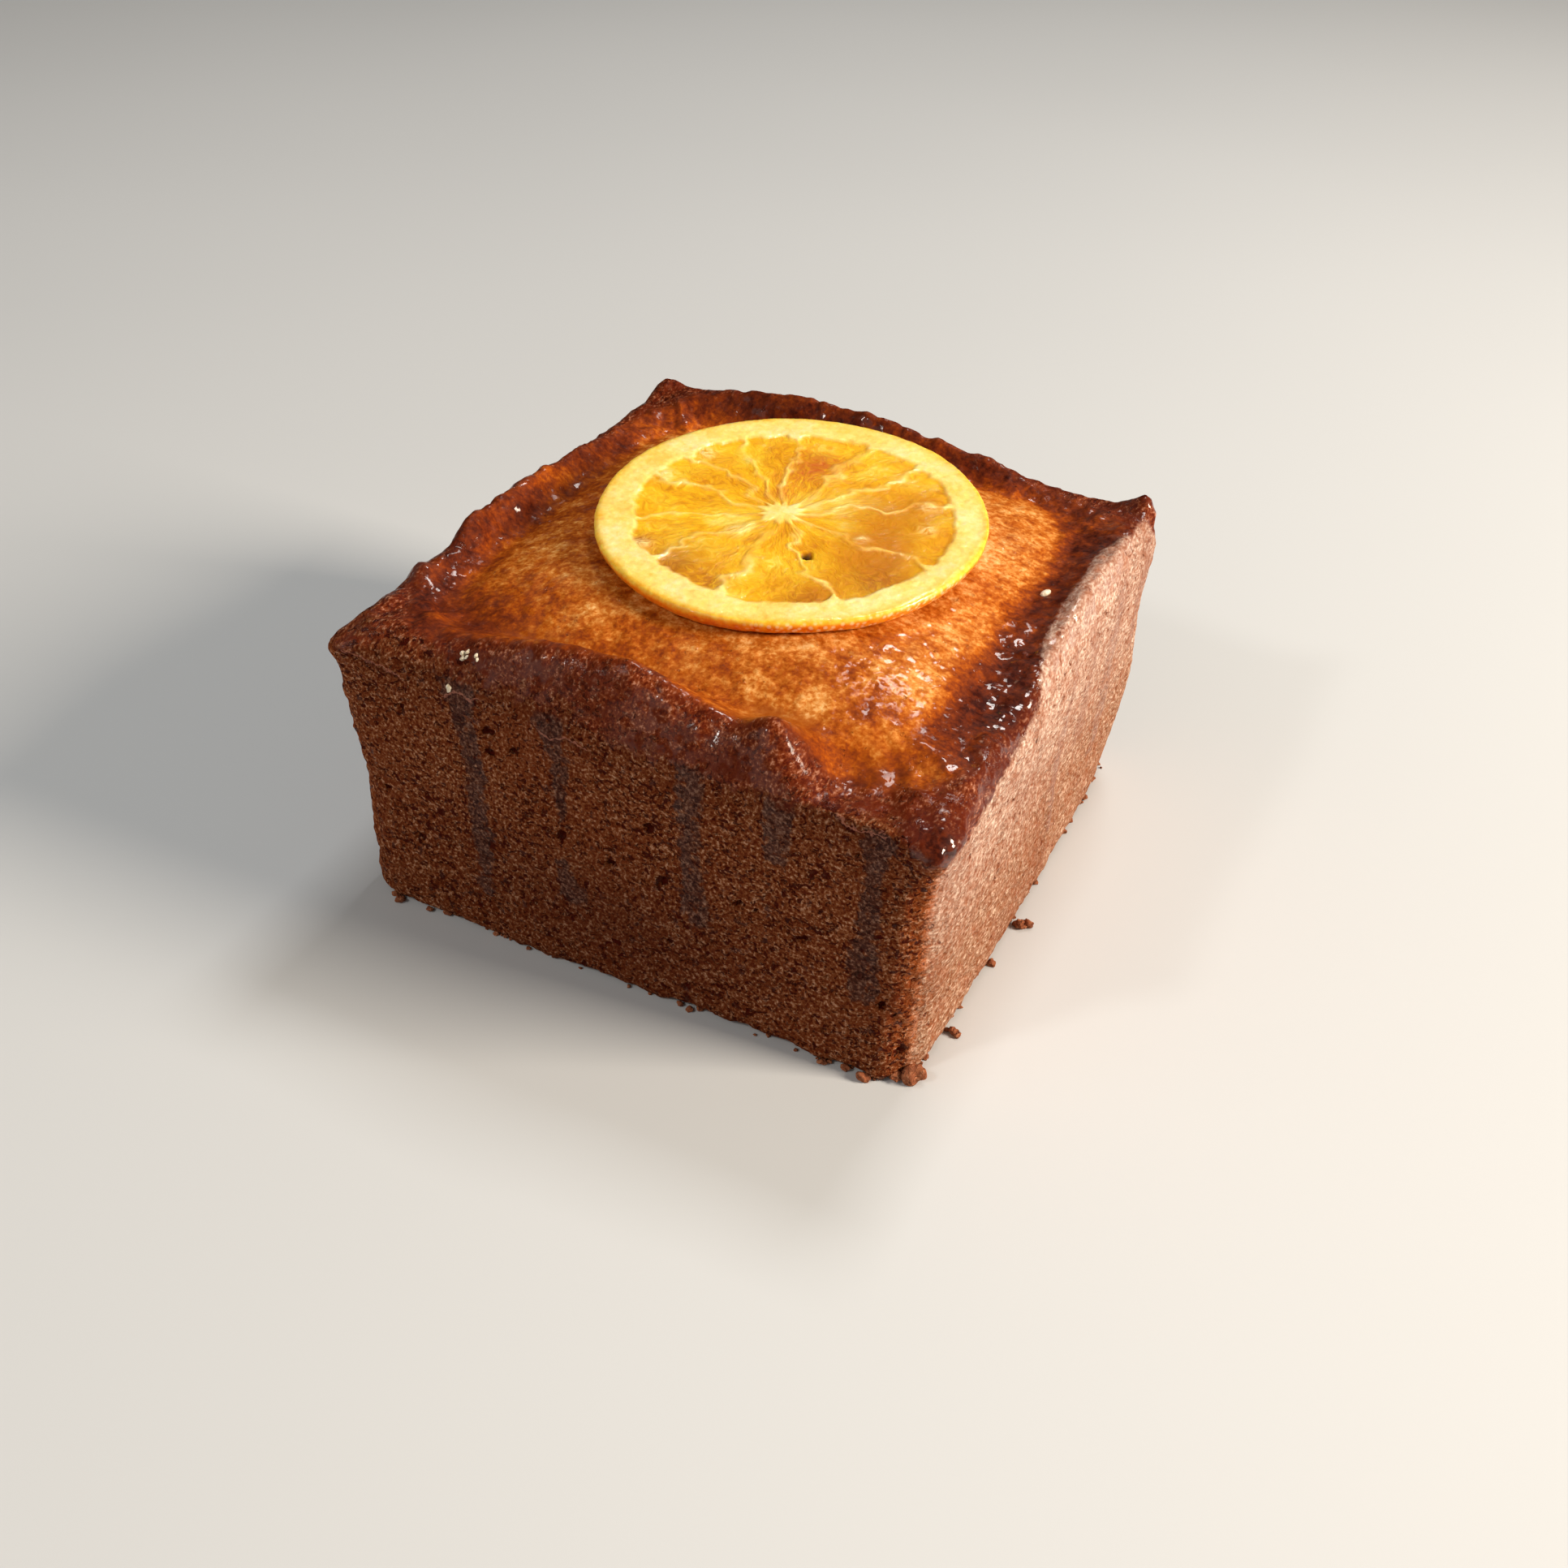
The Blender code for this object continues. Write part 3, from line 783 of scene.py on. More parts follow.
def cake_relief(points, plan, masks):
    """How far each point is raised: swells, pores, grain, knobs of the rim and run-down syrup."""
    small, large = pore_depths(points, plan)
    grain = rough_noise(points, 1.3 * MM, 84, 2)
    knobs = np.abs(rough_noise(points, 4.2 * MM, 81)) * 1.6 - 0.35
    shares = side_shares(*plan.T)
    rise = masks["crumb"] * (SWELL * noise(points, 15.0 * MM, 91) + CRUMB_GRAIN * grain)
    rise -= masks["crumb"] * (SMALL_PORE_DEPTH * np.sqrt(small) + LARGE_PORE_DEPTH * np.sqrt(large))
    rise += masks["lumps"] * (shared(shares, "lumps") * knobs + RIM_GRAIN * grain)
    glaze = masks["crust"] * (1 - masks["lumps"]) * (1 - 0.8 * masks["pool"])
    rise += glaze * (GLAZE_RIPPLE * rough_noise(points, 1.9 * MM, 87, 2) + GLAZE_GRAIN * grain)
    rise += masks["drip"] * (DRIP_THICKNESS + DRIP_GRAIN * grain)
    rise += masks["corner"] * CORNER_LUMPS * rough_noise(points, 1.9 * MM, 99, 2)
    rise += masks["crest"] * CREST_LUMPS * rough_noise(points, 2.0 * MM, 93, 2)
    rise += FILM_THICKNESS * between(masks["film"], 0.0, 1.6, 0.5)
    masks["pore"] = masks["crumb"] * np.clip(np.maximum(0.35 * small, 1.3 * large), 0, 1)
    return rise


def foot_relief(points, levels):
    """How far the foot of the faces is frayed, most at the front right corner."""
    near_floor = np.exp(-points[:, 2] / FRAY_HEIGHT) * (levels < 1 - TINY)
    frayed = 0.8 + 0.9 * spot(points, *FRAY_SPOT)
    fine = rough_noise(points, 1.5 * MM, 97, 2)
    return near_floor * frayed * MM * (rough_noise(points, 2.6 * MM, 95) + 0.5 * fine - 0.25)


def knob_pushes(points):
    """How far the drawn-out points and knobs move each point."""
    pushes = np.zeros_like(points)
    for place, push, radius in KNOBS:
        away = np.linalg.norm(points / MM - place, axis=1)
        pushes += np.exp(-((away / radius) ** 2))[:, None] * np.array(push) * MM
    near_right = soft_step((points[:, 0] - TUCK_FROM) / TUCK_OVER)
    pushes[:, 0] -= FOOT_TUCK * near_right * np.exp(-points[:, 2] / TUCK_HEIGHT)
    return pushes


def make_cake():
    """The cake, with its lumps, pores and grain raised from the smooth shape."""
    thing, plan, levels = smooth_cake()
    points = array_of(thing.data.vertices, "co")
    normals = array_of(thing.data.vertex_normals, "vector")
    masks = cake_masks(points, plan, levels)
    rise = cake_relief(points, plan, masks) + foot_relief(points, levels)
    at_base = levels < TINY
    rise[at_base] *= BASE_RELIEF
    normals[at_base] *= (1, 1, 0)
    points += normals * rise[:, None] + knob_pushes(points)
    points[:, 2] = np.maximum(points[:, 2], 0)
    points[at_base, 2] = 0
    set_points(thing, points)
    set_masks(thing, masks)
    return thing


# ---- The orange slice.


def slice_radius(angle):
    """The slice's outline: a slightly uneven circle."""
    uneven = 1 + SLICE_UNEVEN * (np.sin(3 * angle + 0.7) + 0.7 * np.sin(7 * angle))
    return SLICE_RADIUS * uneven


def slice_upper(places):
    """Height of the slice's upper face."""
    return SLICE_TOP + SLICE_TILT * (places[..., 1] - SLICE_CENTRE[1])


def slice_under(places):
    """Height of the slice's lower face, which is pressed in where it lies on the dome."""
    on_dome = dome(places[..., 0], places[..., 1]) + GAP
    return np.maximum(slice_upper(places) - SLICE_THICKNESS, on_dome)


def reach_of_outline(turn):
    """How far the outline lies from the star's centre in each direction."""
    reach = np.full_like(turn, SLICE_RADIUS)
    heading = np.stack([np.cos(turn), np.sin(turn)], axis=-1)
    for _ in range(12):
        from_middle = STAR_CENTRE + heading * reach[:, None] - SLICE_CENTRE
        angle = np.arctan2(from_middle[:, 1], from_middle[:, 0])
        reach = reach + slice_radius(angle) - np.hypot(*from_middle.T)
    return reach


def flat(places):
    """Places in the plane as points at no height, for the noise to read."""
    return np.column_stack([places, np.zeros(len(places))])


def membrane_nearness(places):
    """1 on the thin walls between the segments, fading to 0 beside them."""
    offset = places - STAR_CENTRE
    away = np.hypot(*offset.T)
    turn = np.degrees(np.arctan2(offset[:, 1], offset[:, 0]))
    bend = 1.8 * noise(flat(places), 4.0 * MM, 101) + 0.8 * noise(flat(places), 1.4 * MM, 102)
    nearest = np.full(len(places), 9.0)
    for number, membrane in enumerate(MEMBRANES):
        aside = (turn - membrane + 180) % 360 - 180
        sideways = np.abs(np.radians(aside) * away / MM + bend * np.minimum(away / (9 * MM), 1))
        width = MEMBRANE_WIDTH[0] + MEMBRANE_WIDTH[1] * ((number * 7) % 5) / 5
        nearest = np.minimum(nearest, np.where(np.abs(aside) < 60, sideways / width, 9.0))
    return np.exp(-(nearest**2))


def slice_masks(places):
    """Where the slice's upper face is flesh, pale pith or orange rind, and its spots."""
    wander = noise(flat(places), 3.2 * MM, 111) + 0.6 * noise(flat(places), 1.2 * MM, 112)
    from_flesh = np.hypot(*(places - FLESH_CENTRE).T) - FLESH_RADIUS
    star_away = np.hypot(*(places - STAR_CENTRE).T)
    walls = membrane_nearness(places)
    scallop = 1.5 * MM * np.exp(-(((1 - walls) / 0.75) ** 2)) * (walls > 0.02)
    flesh = soft_step(0.5 - (from_flesh + scallop + 0.55 * MM * wander) / (0.9 * MM))
    star_reach = STAR_RADIUS * (0.8 + 0.7 * walls + 0.35 * wander)
    star = soft_step(0.5 - (star_away - star_reach) / (1.2 * MM))
    middle_offset = places - SLICE_CENTRE
    outline = slice_radius(np.arctan2(middle_offset[:, 1], middle_offset[:, 0]))
    from_edge = outline - np.hypot(*middle_offset.T)
    rind = soft_step(0.5 - (from_edge - RIND_WIDTH - 0.25 * MM * wander) / RIND_FADE)
    patchy = 0.5 + 0.5 * noise(flat(places), 4.0 * MM, 115)
    pith = np.maximum(1 - flesh, np.maximum(star, walls * patchy))
    spots = {"thin": THIN_SPOTS, "deep": DEEP_SPOTS, "russet": RUSSET_SPOTS, "glint_blobs": GLINT_BLOB_SPOTS}
    marked = {name: sum(spot(flat(places), *place) for place in found) for name, found in spots.items()}
    return {"flesh": flesh * (1 - star), "wall": walls, "pith": pith, "rind": rind, **marked}


def fibre_places(places):
    """Where to read the flesh's noise, so that it runs in rays out from the star."""
    offset = places - STAR_CENTRE
    away = np.hypot(*offset.T)
    turn = np.arctan2(offset[:, 1], offset[:, 0])
    turn = turn + 0.10 * noise(flat(places), 4.5 * MM, 121) + 0.05 * noise(flat(places), 1.5 * MM, 122)
    ring = FIBRE_RING
    return np.column_stack([ring * np.cos(turn), ring * np.sin(turn), FIBRE_STRETCH * away])


def slice_relief(places, masks):
    """Height of the upper face over its smooth shape, and where the hole is."""
    sacs = np.abs(rough_noise(fibre_places(places), 0.75 * MM, 131, 2))
    relief = masks["flesh"] * (SAC_HEIGHT * sacs - FLESH_DEPTH)
    relief += masks["flesh"] * (WALL_HEIGHT * masks["wall"] + GLINT_BLOB_HEIGHT * masks["glint_blobs"])
    relief += masks["pith"] * PITH_HEIGHT * rough_noise(flat(places), 0.9 * MM, 134, 2)
    relief += SLICE_SWELL * noise(flat(places), 7.0 * MM, 137)
    hole_away = np.hypot(*(places - HOLE_CENTRE).T) * (1 + 0.35 * noise(flat(places), 0.8 * MM, 139))
    hole = soft_step(1.5 - hole_away / HOLE_RADIUS)
    return relief - HOLE_DEPTH * hole, hole


def slice_rows():
    """Points of the slice ring by ring: out over the top, down the side and in below it.

    Each ring also has how far down the side it lies: 0 on the top and 1 below."""
    turn = np.linspace(0, 2 * np.pi, SLICE_TURNS, endpoint=False)
    heading = np.stack([np.cos(turn), np.sin(turn)], axis=-1)
    reach = reach_of_outline(turn)
    inner_edge = 1 - SLICE_EDGE_ROUND / SLICE_RADIUS
    slants = np.pi * np.arange(1, SLICE_SIDE_STEPS + 1) / SLICE_SIDE_STEPS
    out_shares = inner_edge * (np.arange(1, SLICE_RINGS + 1) / SLICE_RINGS) ** 0.8
    side_shares_out = inner_edge + (1 - inner_edge) * np.sin(slants) ** 0.6
    under_shares = inner_edge * np.linspace(1, 0, SLICE_UNDER_RINGS + 1)[1:-1]
    shares = np.concatenate([out_shares, side_shares_out, under_shares])
    drops = np.concatenate([0 * out_shares, (1 - np.cos(slants)) / 2, 1 + 0 * under_shares])
    rows = []
    for share, drop in zip(shares, drops):
        narrowed = 1 - SLICE_TAPER / SLICE_RADIUS * drop
        places = STAR_CENTRE + heading * (share * narrowed * reach)[:, None]
        height = slice_upper(places) * (1 - drop) + slice_under(places) * drop
        rows.append(np.column_stack([places, height]))
    return rows, drops


def smooth_slice():
    """The slice as one closed mesh, with how far down its side each point lies."""
    rows, drops = slice_rows()
    middle_top = np.array([[*STAR_CENTRE, slice_upper(STAR_CENTRE)]])
    middle_under = np.array([[*STAR_CENTRE, slice_under(STAR_CENTRE)]])
    points = np.concatenate([*rows, middle_top, middle_under])
    drop = np.append(np.repeat(drops, SLICE_TURNS), (0, 1))
    numbers = np.arange(len(rows) * SLICE_TURNS).reshape(len(rows), SLICE_TURNS)
    wrapped = np.column_stack([numbers, numbers[:, 0]])
    faces = [tuple(face[::-1]) for face in quads(wrapped)]
    first, last = wrapped[0], wrapped[-1]
    top_point, under_point = len(points) - 2, len(points) - 1
    faces += [(top_point, first[k], first[k + 1]) for k in range(SLICE_TURNS)]
    faces += [(under_point, last[k + 1], last[k]) for k in range(SLICE_TURNS)]
    return mesh_object("candied_orange_slice", points, faces), drop


def make_slice():
    """The candied orange slice, with its rind, pith, walls and juice sacs."""
    thing, drop = smooth_slice()
    points = array_of(thing.data.vertices, "co")
    normals = array_of(thing.data.vertex_normals, "vector")
    masks = slice_masks(points[:, :2])
    relief, hole = slice_relief(points[:, :2], masks)
    side_grain = SIDE_GRAIN * rough_noise(points * (1, 1, 2.2), 1.3 * MM, 141)
    on_top = drop < TINY
    on_side = (drop > TINY) & (drop < 1 - TINY)
    rise = np.where(on_top, relief, np.where(on_side, side_grain, 0))
    set_points(thing, points + normals * rise[:, None])
    turn = np.degrees(np.arctan2(*(points[:, 1::-1] - SLICE_CENTRE[::-1]).T))
    masks["rind"] = np.where(on_top, masks["rind"], 1)
    masks["side"] = soft_step((drop - 0.12) / 0.25)
    masks["sugar_glints"] = between(drop, 0.06, 0.9, 0.2) * between(turn, -75, -5, 20)
    masks["hole"] = hole * on_top
    set_masks(thing, masks)
    set_vector(thing, "fibre", fibre_places(points[:, :2]))
    return thing


# ---- Loose crumbs and pale flecks.


def ball(steps):
    """The points of a ball of radius 1, and its faces."""
    mesh = bmesh.new()
    bmesh.ops.create_icosphere(mesh, subdivisions=steps, radius=1.0)
    points = np.array([vertex.co for vertex in mesh.verts])
    faces = np.array([[vertex.index for vertex in face.verts] for face in mesh.faces])
    mesh.free()
    return points, faces


def joined(name, lumps):
    """One object of many lumps, each given by its points and faces."""
    points = np.concatenate([lump for lump, _ in lumps])
    starts = np.cumsum([0] + [len(lump) for lump, _ in lumps[:-1]])
    faces = np.concatenate([faces + start for (_, faces), start in zip(lumps, starts)])
    return mesh_object(name, points, faces)


def crumb(x, y, radius, steps, seed):
    """A ragged crumb that lies on the floor."""
    points, faces = ball(steps)
    shape = points * CRUMB_SHAPE + 40 * seed
    bumps = 1 + 0.45 * noise(shape, 0.9, 151) + 0.30 * noise(shape, 0.4, 152)
    points = points * CRUMB_SHAPE * bumps[:, None] * radius
    points = points + (x, y, 0.6 * radius)
    points[:, 2] = np.maximum(points[:, 2], 0.02)
    return points * MM, faces


def make_crumbs():
    """The crumbs that cling to the foot of the cake, as one object."""
    lumps = [crumb(x, y, radius, 4, k) for k, (x, y, radius) in enumerate(CRUMBS)]
    chance = np.random.default_rng(7)
    for k in range(SMALL_CRUMBS):
        along = chance.uniform(-0.93, 0.93)
        side = ((along, -1), (1, along), (along, 1), (-1, along))[k % 4]
        place = side_of_cake(*np.array(side, dtype=float), np.array(0.02)) / MM
        place[:2] += np.array(side) * (np.abs(side) == 1) * chance.uniform(*SMALL_CRUMB_OFFSET)
        place[0] -= FOOT_TUCK / MM * (place[0] > 40)
        radius = SMALL_CRUMB_RADIUS[0] + np.ptp(SMALL_CRUMB_RADIUS) * chance.random() ** 2
        lumps.append(crumb(place[0], place[1], radius, 3, k + 20))
    return joined("clinging_crumbs", lumps)


def make_flecks(cake):
    """The pale flecks and the seed that stuck to the glaze, as one object."""
    surface = BVHTree.FromPolygons(
        [tuple(vertex.co) for vertex in cake.data.vertices],
        [tuple(face.vertices) for face in cake.data.polygons],
    )
    lumps = []
    for k, (x, y, z, length, width, thickness) in enumerate(FLECKS):
        place, normal, _, _ = surface.find_nearest(Vector((x, y, z)) * MM)
        if z > DROPPED_FROM:
            place, normal, _, _ = surface.ray_cast(Vector((x, y, z)) * MM, Vector((0, 0, -1)))
        points, faces = ball(3)
        rough = SEED_ROUGHNESS if k == len(FLECKS) - 1 else FLECK_ROUGHNESS
        points = points * (1 + rough * noise(points + 7 * k, 0.8, 161))[:, None]
        points = points * (length, width, thickness) * MM
        turned = np.array(normal.to_track_quat("Z", "X").to_matrix())
        lifted = np.array(place + FLECK_LIFT * thickness * MM * normal)
        lumps.append((points @ turned.T + lifted, faces))
    return joined("pale_flecks", lumps)


# ---- Materials.


def srgb(red, green, blue):
    """A screen colour, 0 to 255, as the linear colour that shaders take."""
    shares = np.array((red, green, blue)) / 255
    linear = np.where(shares <= 0.04045, shares / 12.92, ((shares + 0.055) / 1.055) ** 2.4)
    return (*linear, 1.0)


class Looks:
    """A material under construction: short names for the nodes that these materials use."""

    def __init__(self, name):
        self.material = bpy.data.materials.new(name)
        self.material.use_nodes = True
        self.tree = self.material.node_tree
        self.shader = self.tree.nodes["Principled BSDF"]
        self.places = self.node("TexCoord", "Object")

    def put(self, socket, value):
        """Links a socket to a mask, given by its name, or to a node's output, or sets its value."""
        if isinstance(value, str):
            value = self.mask(value)
        if isinstance(value, bpy.types.NodeSocket):
            self.tree.links.new(value, socket)
        elif socket.type == "RGBA":
            socket.default_value = srgb(*value)
        else:
            socket.default_value = value

    def node(self, kind, output, inputs=(), **settings):
        """One output of a new node, whose inputs are given by name or number."""
        node = self.tree.nodes.new("ShaderNode" + kind)
        for name, value in settings.items():
            setattr(node, name, value)
        for name, value in dict(inputs).items():
            self.put(node.inputs[name], value)
        return node.outputs[output]

    def math(self, operation, first, second=0.0):
        """One sum."""
        return self.node("Math", 0, {0: first, 1: second}, operation=operation)

    def times(self, first, second):
        """The product."""
        return self.math("MULTIPLY", first, second)

    def most(self, first, second):
        """The larger one."""
        return self.math("MAXIMUM", first, second)

    def mask(self, name, share=None):
        """A mask stored on the vertices, or this share of it."""
        mask = self.node("Attribute", "Fac", attribute_name=name)
        return mask if share is None else self.times(mask, share)

    def uneven(self, value, unevenness, most):
        """The value, raised or lowered by a noise by up to this much."""
        return self.math("ADD", value, self.range(unevenness, 0.3, 0.7, -most, most))

    def ragged_mask(self, name, unevenness, most, softness):
        """A mask stored on the vertices, with its soft edge made crisp and uneven."""
        return self.range(self.uneven(self.mask(name), unevenness, most), 0.5 - softness, 0.5 + softness)

    def vector(self, name):
        """A vector stored on the vertices."""
        return self.node("Attribute", "Vector", attribute_name=name)

    def stretched(self, scale):
        """The places, stretched by these three factors."""
        return self.node("VectorMath", 0, {0: self.places, 1: scale}, operation="MULTIPLY")

    def noise(self, size, detail=2.0, places=None, roughness=0.5, distortion=0.0):
        """Noise from 0 to 1 with bumps of about this size."""
        inputs = {"Vector": places or self.places, "Scale": 0.5 / size, "Detail": detail}
        inputs.update({"Roughness": roughness, "Distortion": distortion})
        return self.node("TexNoise", "Fac", inputs)

    def cells(self, size):
        """Distance to the middle of the nearest cell, in cell sizes."""
        return self.node("TexVoronoi", "Distance", {"Vector": self.places, "Scale": 1 / size})

    def range(self, value, low, high, to_low=0.0, to_high=1.0):
        """Maps a range of the value to another range, and stops at its ends."""
        inputs = {"Value": value, "From Min": low, "From Max": high}
        inputs.update({"To Min": to_low, "To Max": to_high})
        return self.node("MapRange", 0, inputs)

    def ramp(self, value, *stops):
        """A colour for each value, from stops of (place, red, green, blue)."""
        node = self.tree.nodes.new("ShaderNodeValToRGB")
        self.put(node.inputs[0], value)
        elements = node.color_ramp.elements
        while len(elements) < len(stops):
            elements.new(0.5)
        for element, (place, *colour) in zip(elements, stops):
            element.position = place
            element.color = srgb(*colour)
        return node.outputs[0]

    def grain_ramp(self, grain, *colours):
        """A colour for the grain: these ones from its darkest to its palest places."""
        stops = GRAIN_STOPS[:: 4 // (len(colours) - 1)]
        return self.ramp(grain, *((place, *colour) for place, colour in zip(stops, colours)))

    def mix(self, share, first, second):
        """A mix of two colours."""
        return self.node("Mix", 2, {"Factor": share, 6: first, 7: second}, data_type="RGBA")

    def blend(self, share, first, second):
        """A mix of two numbers."""
        return self.node("Mix", 0, {"Factor": share, 2: first, 3: second})

    def bump(self, height, depth, after=None):
        """A normal from this height, which is 0 to 1 of this depth."""
        inputs = {"Strength": 1.0, "Distance": depth, "Height": height}
        if after is not None:
            inputs["Normal"] = after
        return self.node("Bump", 0, inputs)

    def set(self, **values):
        """Sets or links the shader's own sockets."""
        for name, value in values.items():
            self.put(self.shader.inputs[name.replace("_", " ").title().replace("Ior", "IOR")], value)


def crumb_looks(looks, ragged):
    """The open crumb: its colour and grain, with painted shade in its pits and under the rim, painted
    sunlight on the right face and a painted glow along the upright edges.
    """
    grain = looks.noise(GRAIN_SIZE, 3.0, looks.stretched(CRUMB_STRETCH), roughness=0.62)
    holes = looks.noise(PIT_SIZE, 3.0, looks.stretched(PIT_STRETCH), roughness=0.62, distortion=0.8)
    # The pits, and the stored pores, are painted dark below: painted shade in the hollows.
    rarity = looks.range(looks.noise(4.5 * MM), 0.35, 0.65, 0.38, 0.445)
    pit = looks.range(looks.math("SUBTRACT", rarity, holes), -0.01, 0.02)
    # The pits show less where sunlight is painted on the right face.
    pit = looks.times(pit, looks.range("painted_sunlight", 0.0, 1.0, 1.0, 0.25))
    pore = looks.uneven("pore", ragged, 0.4)
    pit = looks.most(pit, looks.range(pore, 0.28, 0.46))
    moist = ((78, 22, 4), (94, 38, 13), (112, 56, 26), (138, 86, 54), (184, 138, 110))
    moist = looks.grain_ramp(grain, *moist)
    # lit and pale are sunlit copies of the crumb's colours: painted sunlight for the right face.
    lit = ((124, 68, 38), (136, 90, 64), (150, 112, 88), (178, 142, 118), (214, 184, 162))
    lit = looks.grain_ramp(grain, *lit)
    pale = looks.grain_ramp(grain, (148, 104, 84), (182, 150, 132), (226, 204, 188))
    painted_sunlight = looks.mix("pale", lit, pale)
    stain = looks.range(looks.noise(1.6 * MM, 3.0, roughness=0.6), 0.44, 0.66, 0.0, 0.5)
    painted_sunlight = looks.mix(stain, painted_sunlight, (146, 88, 60))
    colour = looks.mix("painted_sunlight", moist, painted_sunlight)
    colour = looks.mix(looks.mask("soak", 0.35), colour, (112, 50, 20))
    # Painted glow along the upright edges, most on the sunlit side, over some real browning.
    glow = looks.ragged_mask("edge", ragged, 0.4, 0.45)
    colour = looks.mix(looks.times(glow, 0.6), colour, (204, 104, 38))
    # Painted shade under the rim and low on the front face.
    colour = looks.mix(looks.mask("shade", 0.5), colour, (62, 22, 10))
    # Painted shade in the pits: nearly black red, lighter on the sunlit right face.
    darkest = looks.mix("painted_sunlight", (58, 4, 0), (120, 58, 34))
    return looks.mix(looks.times(pit, 0.9), colour, darkest), grain, pit


def drip_looks(looks, crumb, grain, pit, ragged):
    """The crumb with the syrup that ran down it, which shows as a dark, greyish film.

    Under the ragged edges of dried syrup is a painted shadow, with a pale line along the edge."""
    film = looks.grain_ramp(grain, (44, 16, 9), (72, 40, 30), (118, 84, 70))
    # Painted shade in the pits under the syrup.
    film = looks.mix(looks.times(pit, 0.6), film, (38, 2, 0))
    # On the right face the syrup gets painted sunlight too: it is paler and shows less.
    film = looks.mix(looks.mask("painted_sunlight", 0.9), film, (140, 84, 60))
    dripped = looks.ragged_mask("drip", ragged, 0.75, 0.30)
    share = looks.times(dripped, looks.range("painted_sunlight", 0.0, 1.0, 0.85, 0.40))
    colour = looks.mix(share, crumb, film)
    over = looks.uneven("film", ragged, 0.5)
    # Painted shadow just below each edge of dried syrup.
    under = looks.times(looks.range(over, -1.0, -0.1), looks.range(over, -0.1, 0.0, 1.0, 0.0))
    colour = looks.mix(looks.times(under, 0.6), colour, (44, 6, 2))
    line = looks.range(looks.math("ABSOLUTE", over), 0.06, 0.26, 1.0, 0.0)
    return looks.mix(looks.times(line, 0.45), colour, (196, 128, 106)), dripped


def glaze_looks(looks, fine, coarse):
    """The glazed dome: one scale of colours from pale amber to nearly black."""
    middle = looks.noise(0.8 * MM)
    even = looks.uneven("bake", coarse, 0.10)
    bake = looks.uneven(looks.uneven(even, fine, -0.13), middle, 0.10)
    grainy = looks.ramp(
        bake,
        (0.00, 252, 214, 150),
        (0.12, 236, 184, 118),
        (0.24, 214, 144, 70),
        (0.36, 186, 104, 32),
        (0.48, 160, 76, 12),
        (0.60, 132, 57, 14),
        (0.74, 104, 41, 14),
        (0.88, 80, 29, 12),
        (1.00, 52, 14, 6),
    )
    pooled = looks.ramp(
        even,
        (0.10, 198, 124, 44),
        (0.30, 162, 86, 20),
        (0.50, 128, 57, 8),
        (0.80, 84, 28, 4),
    )
    return looks.mix(looks.mask("pool", 0.7), grainy, pooled)


def crust_looks(looks, grain, pit):
    """The browned crust outside the crest: the crumb's grain, with smears of smooth syrup."""
    colour = ((82, 20, 0), (100, 34, 7), (120, 51, 18), (148, 77, 42), (204, 142, 112))
    colour = looks.grain_ramp(grain, *colour)
    smear = looks.noise(1.3 * MM, 3.0, looks.stretched(SMEAR_STRETCH), roughness=0.6)
    colour = looks.mix(looks.range(smear, 0.42, 0.60, 0.0, 0.8), colour, (100, 34, 6))
    dark = looks.range("bake", 0.55, 1.05, 0.0, 0.85)
    colour = looks.mix(dark, colour, (62, 14, 6))
    # Painted shade in the pits of the crust.
    return looks.mix(looks.times(pit, 0.5), colour, (40, 0, 0))


def wet_gloss(looks, wet):
    """How glossy the syrup is: in close patches among the beads and on the crest, few elsewhere."""
    patches = looks.noise(1.0 * MM)
    broad = looks.range(patches, 0.57, 0.63, 0.01, 0.5)
    close = looks.range(patches, 0.40, 0.50, 0.03, 1.0)
    gloss = looks.most(broad, looks.times("beads", close))
    gloss = looks.most(gloss, looks.times("crest", close))
    return looks.times(looks.times(wet, gloss), "shine")


def cake_normal(looks, grain, pit, wet, sealed):
    """The grain and pits of the crumb where syrup doesn't seal them, and beads of syrup on top."""
    smooth = looks.math("SUBTRACT", 1.0, looks.mask("pool", 0.7))
    bead = looks.times(looks.noise(BEAD_SIZE, 1.0, roughness=0.45), looks.times(wet, smooth))
    height = looks.math("SUBTRACT", looks.times(grain, 0.8), pit)
    height = looks.times(height, looks.math("SUBTRACT", 1.0, sealed))
    return looks.bump(bead, BEAD_DEPTH, after=looks.bump(height, GRAIN_DEPTH))


def cake_looks():
    """Crumb, amber glaze, browned rim and run-down syrup."""
    looks = Looks("cake_crumb")
    fine = looks.noise(0.34 * MM, 3.0, roughness=0.62, distortion=0.3)
    ragged = looks.noise(0.60 * MM, 3.0, roughness=0.6)
    coarse = looks.noise(2.4 * MM, 3.0)
    crumb, grain, pit = crumb_looks(looks, ragged)
    colour, dripped = drip_looks(looks, crumb, grain, pit, ragged)
    crust = looks.mix("inner", crust_looks(looks, grain, pit), glaze_looks(looks, fine, coarse))
    crusted = looks.range(looks.uneven("crust", ragged, 0.35), 0.2, 0.8)
    wet = looks.most(looks.most(crusted, looks.times(dripped, 0.5)), looks.mask("crest", 0.8))
    sealed = looks.range(looks.most("inner", "beads"), 0.0, 0.9, 0.72, 1.0)
    sealed = looks.most(looks.times(crusted, sealed), looks.mask("crest", 0.85))
    normal = cake_normal(looks, grain, pit, wet, sealed)
    looks.set(
        base_color=looks.mix(crusted, colour, crust),
        roughness=looks.blend(wet, 0.9, 0.5),
        normal=normal,
        specular_ior_level=0.05,
        coat_weight=wet_gloss(looks, wet),
        coat_roughness=0.07,
        coat_normal=normal,
    )
    return looks.material


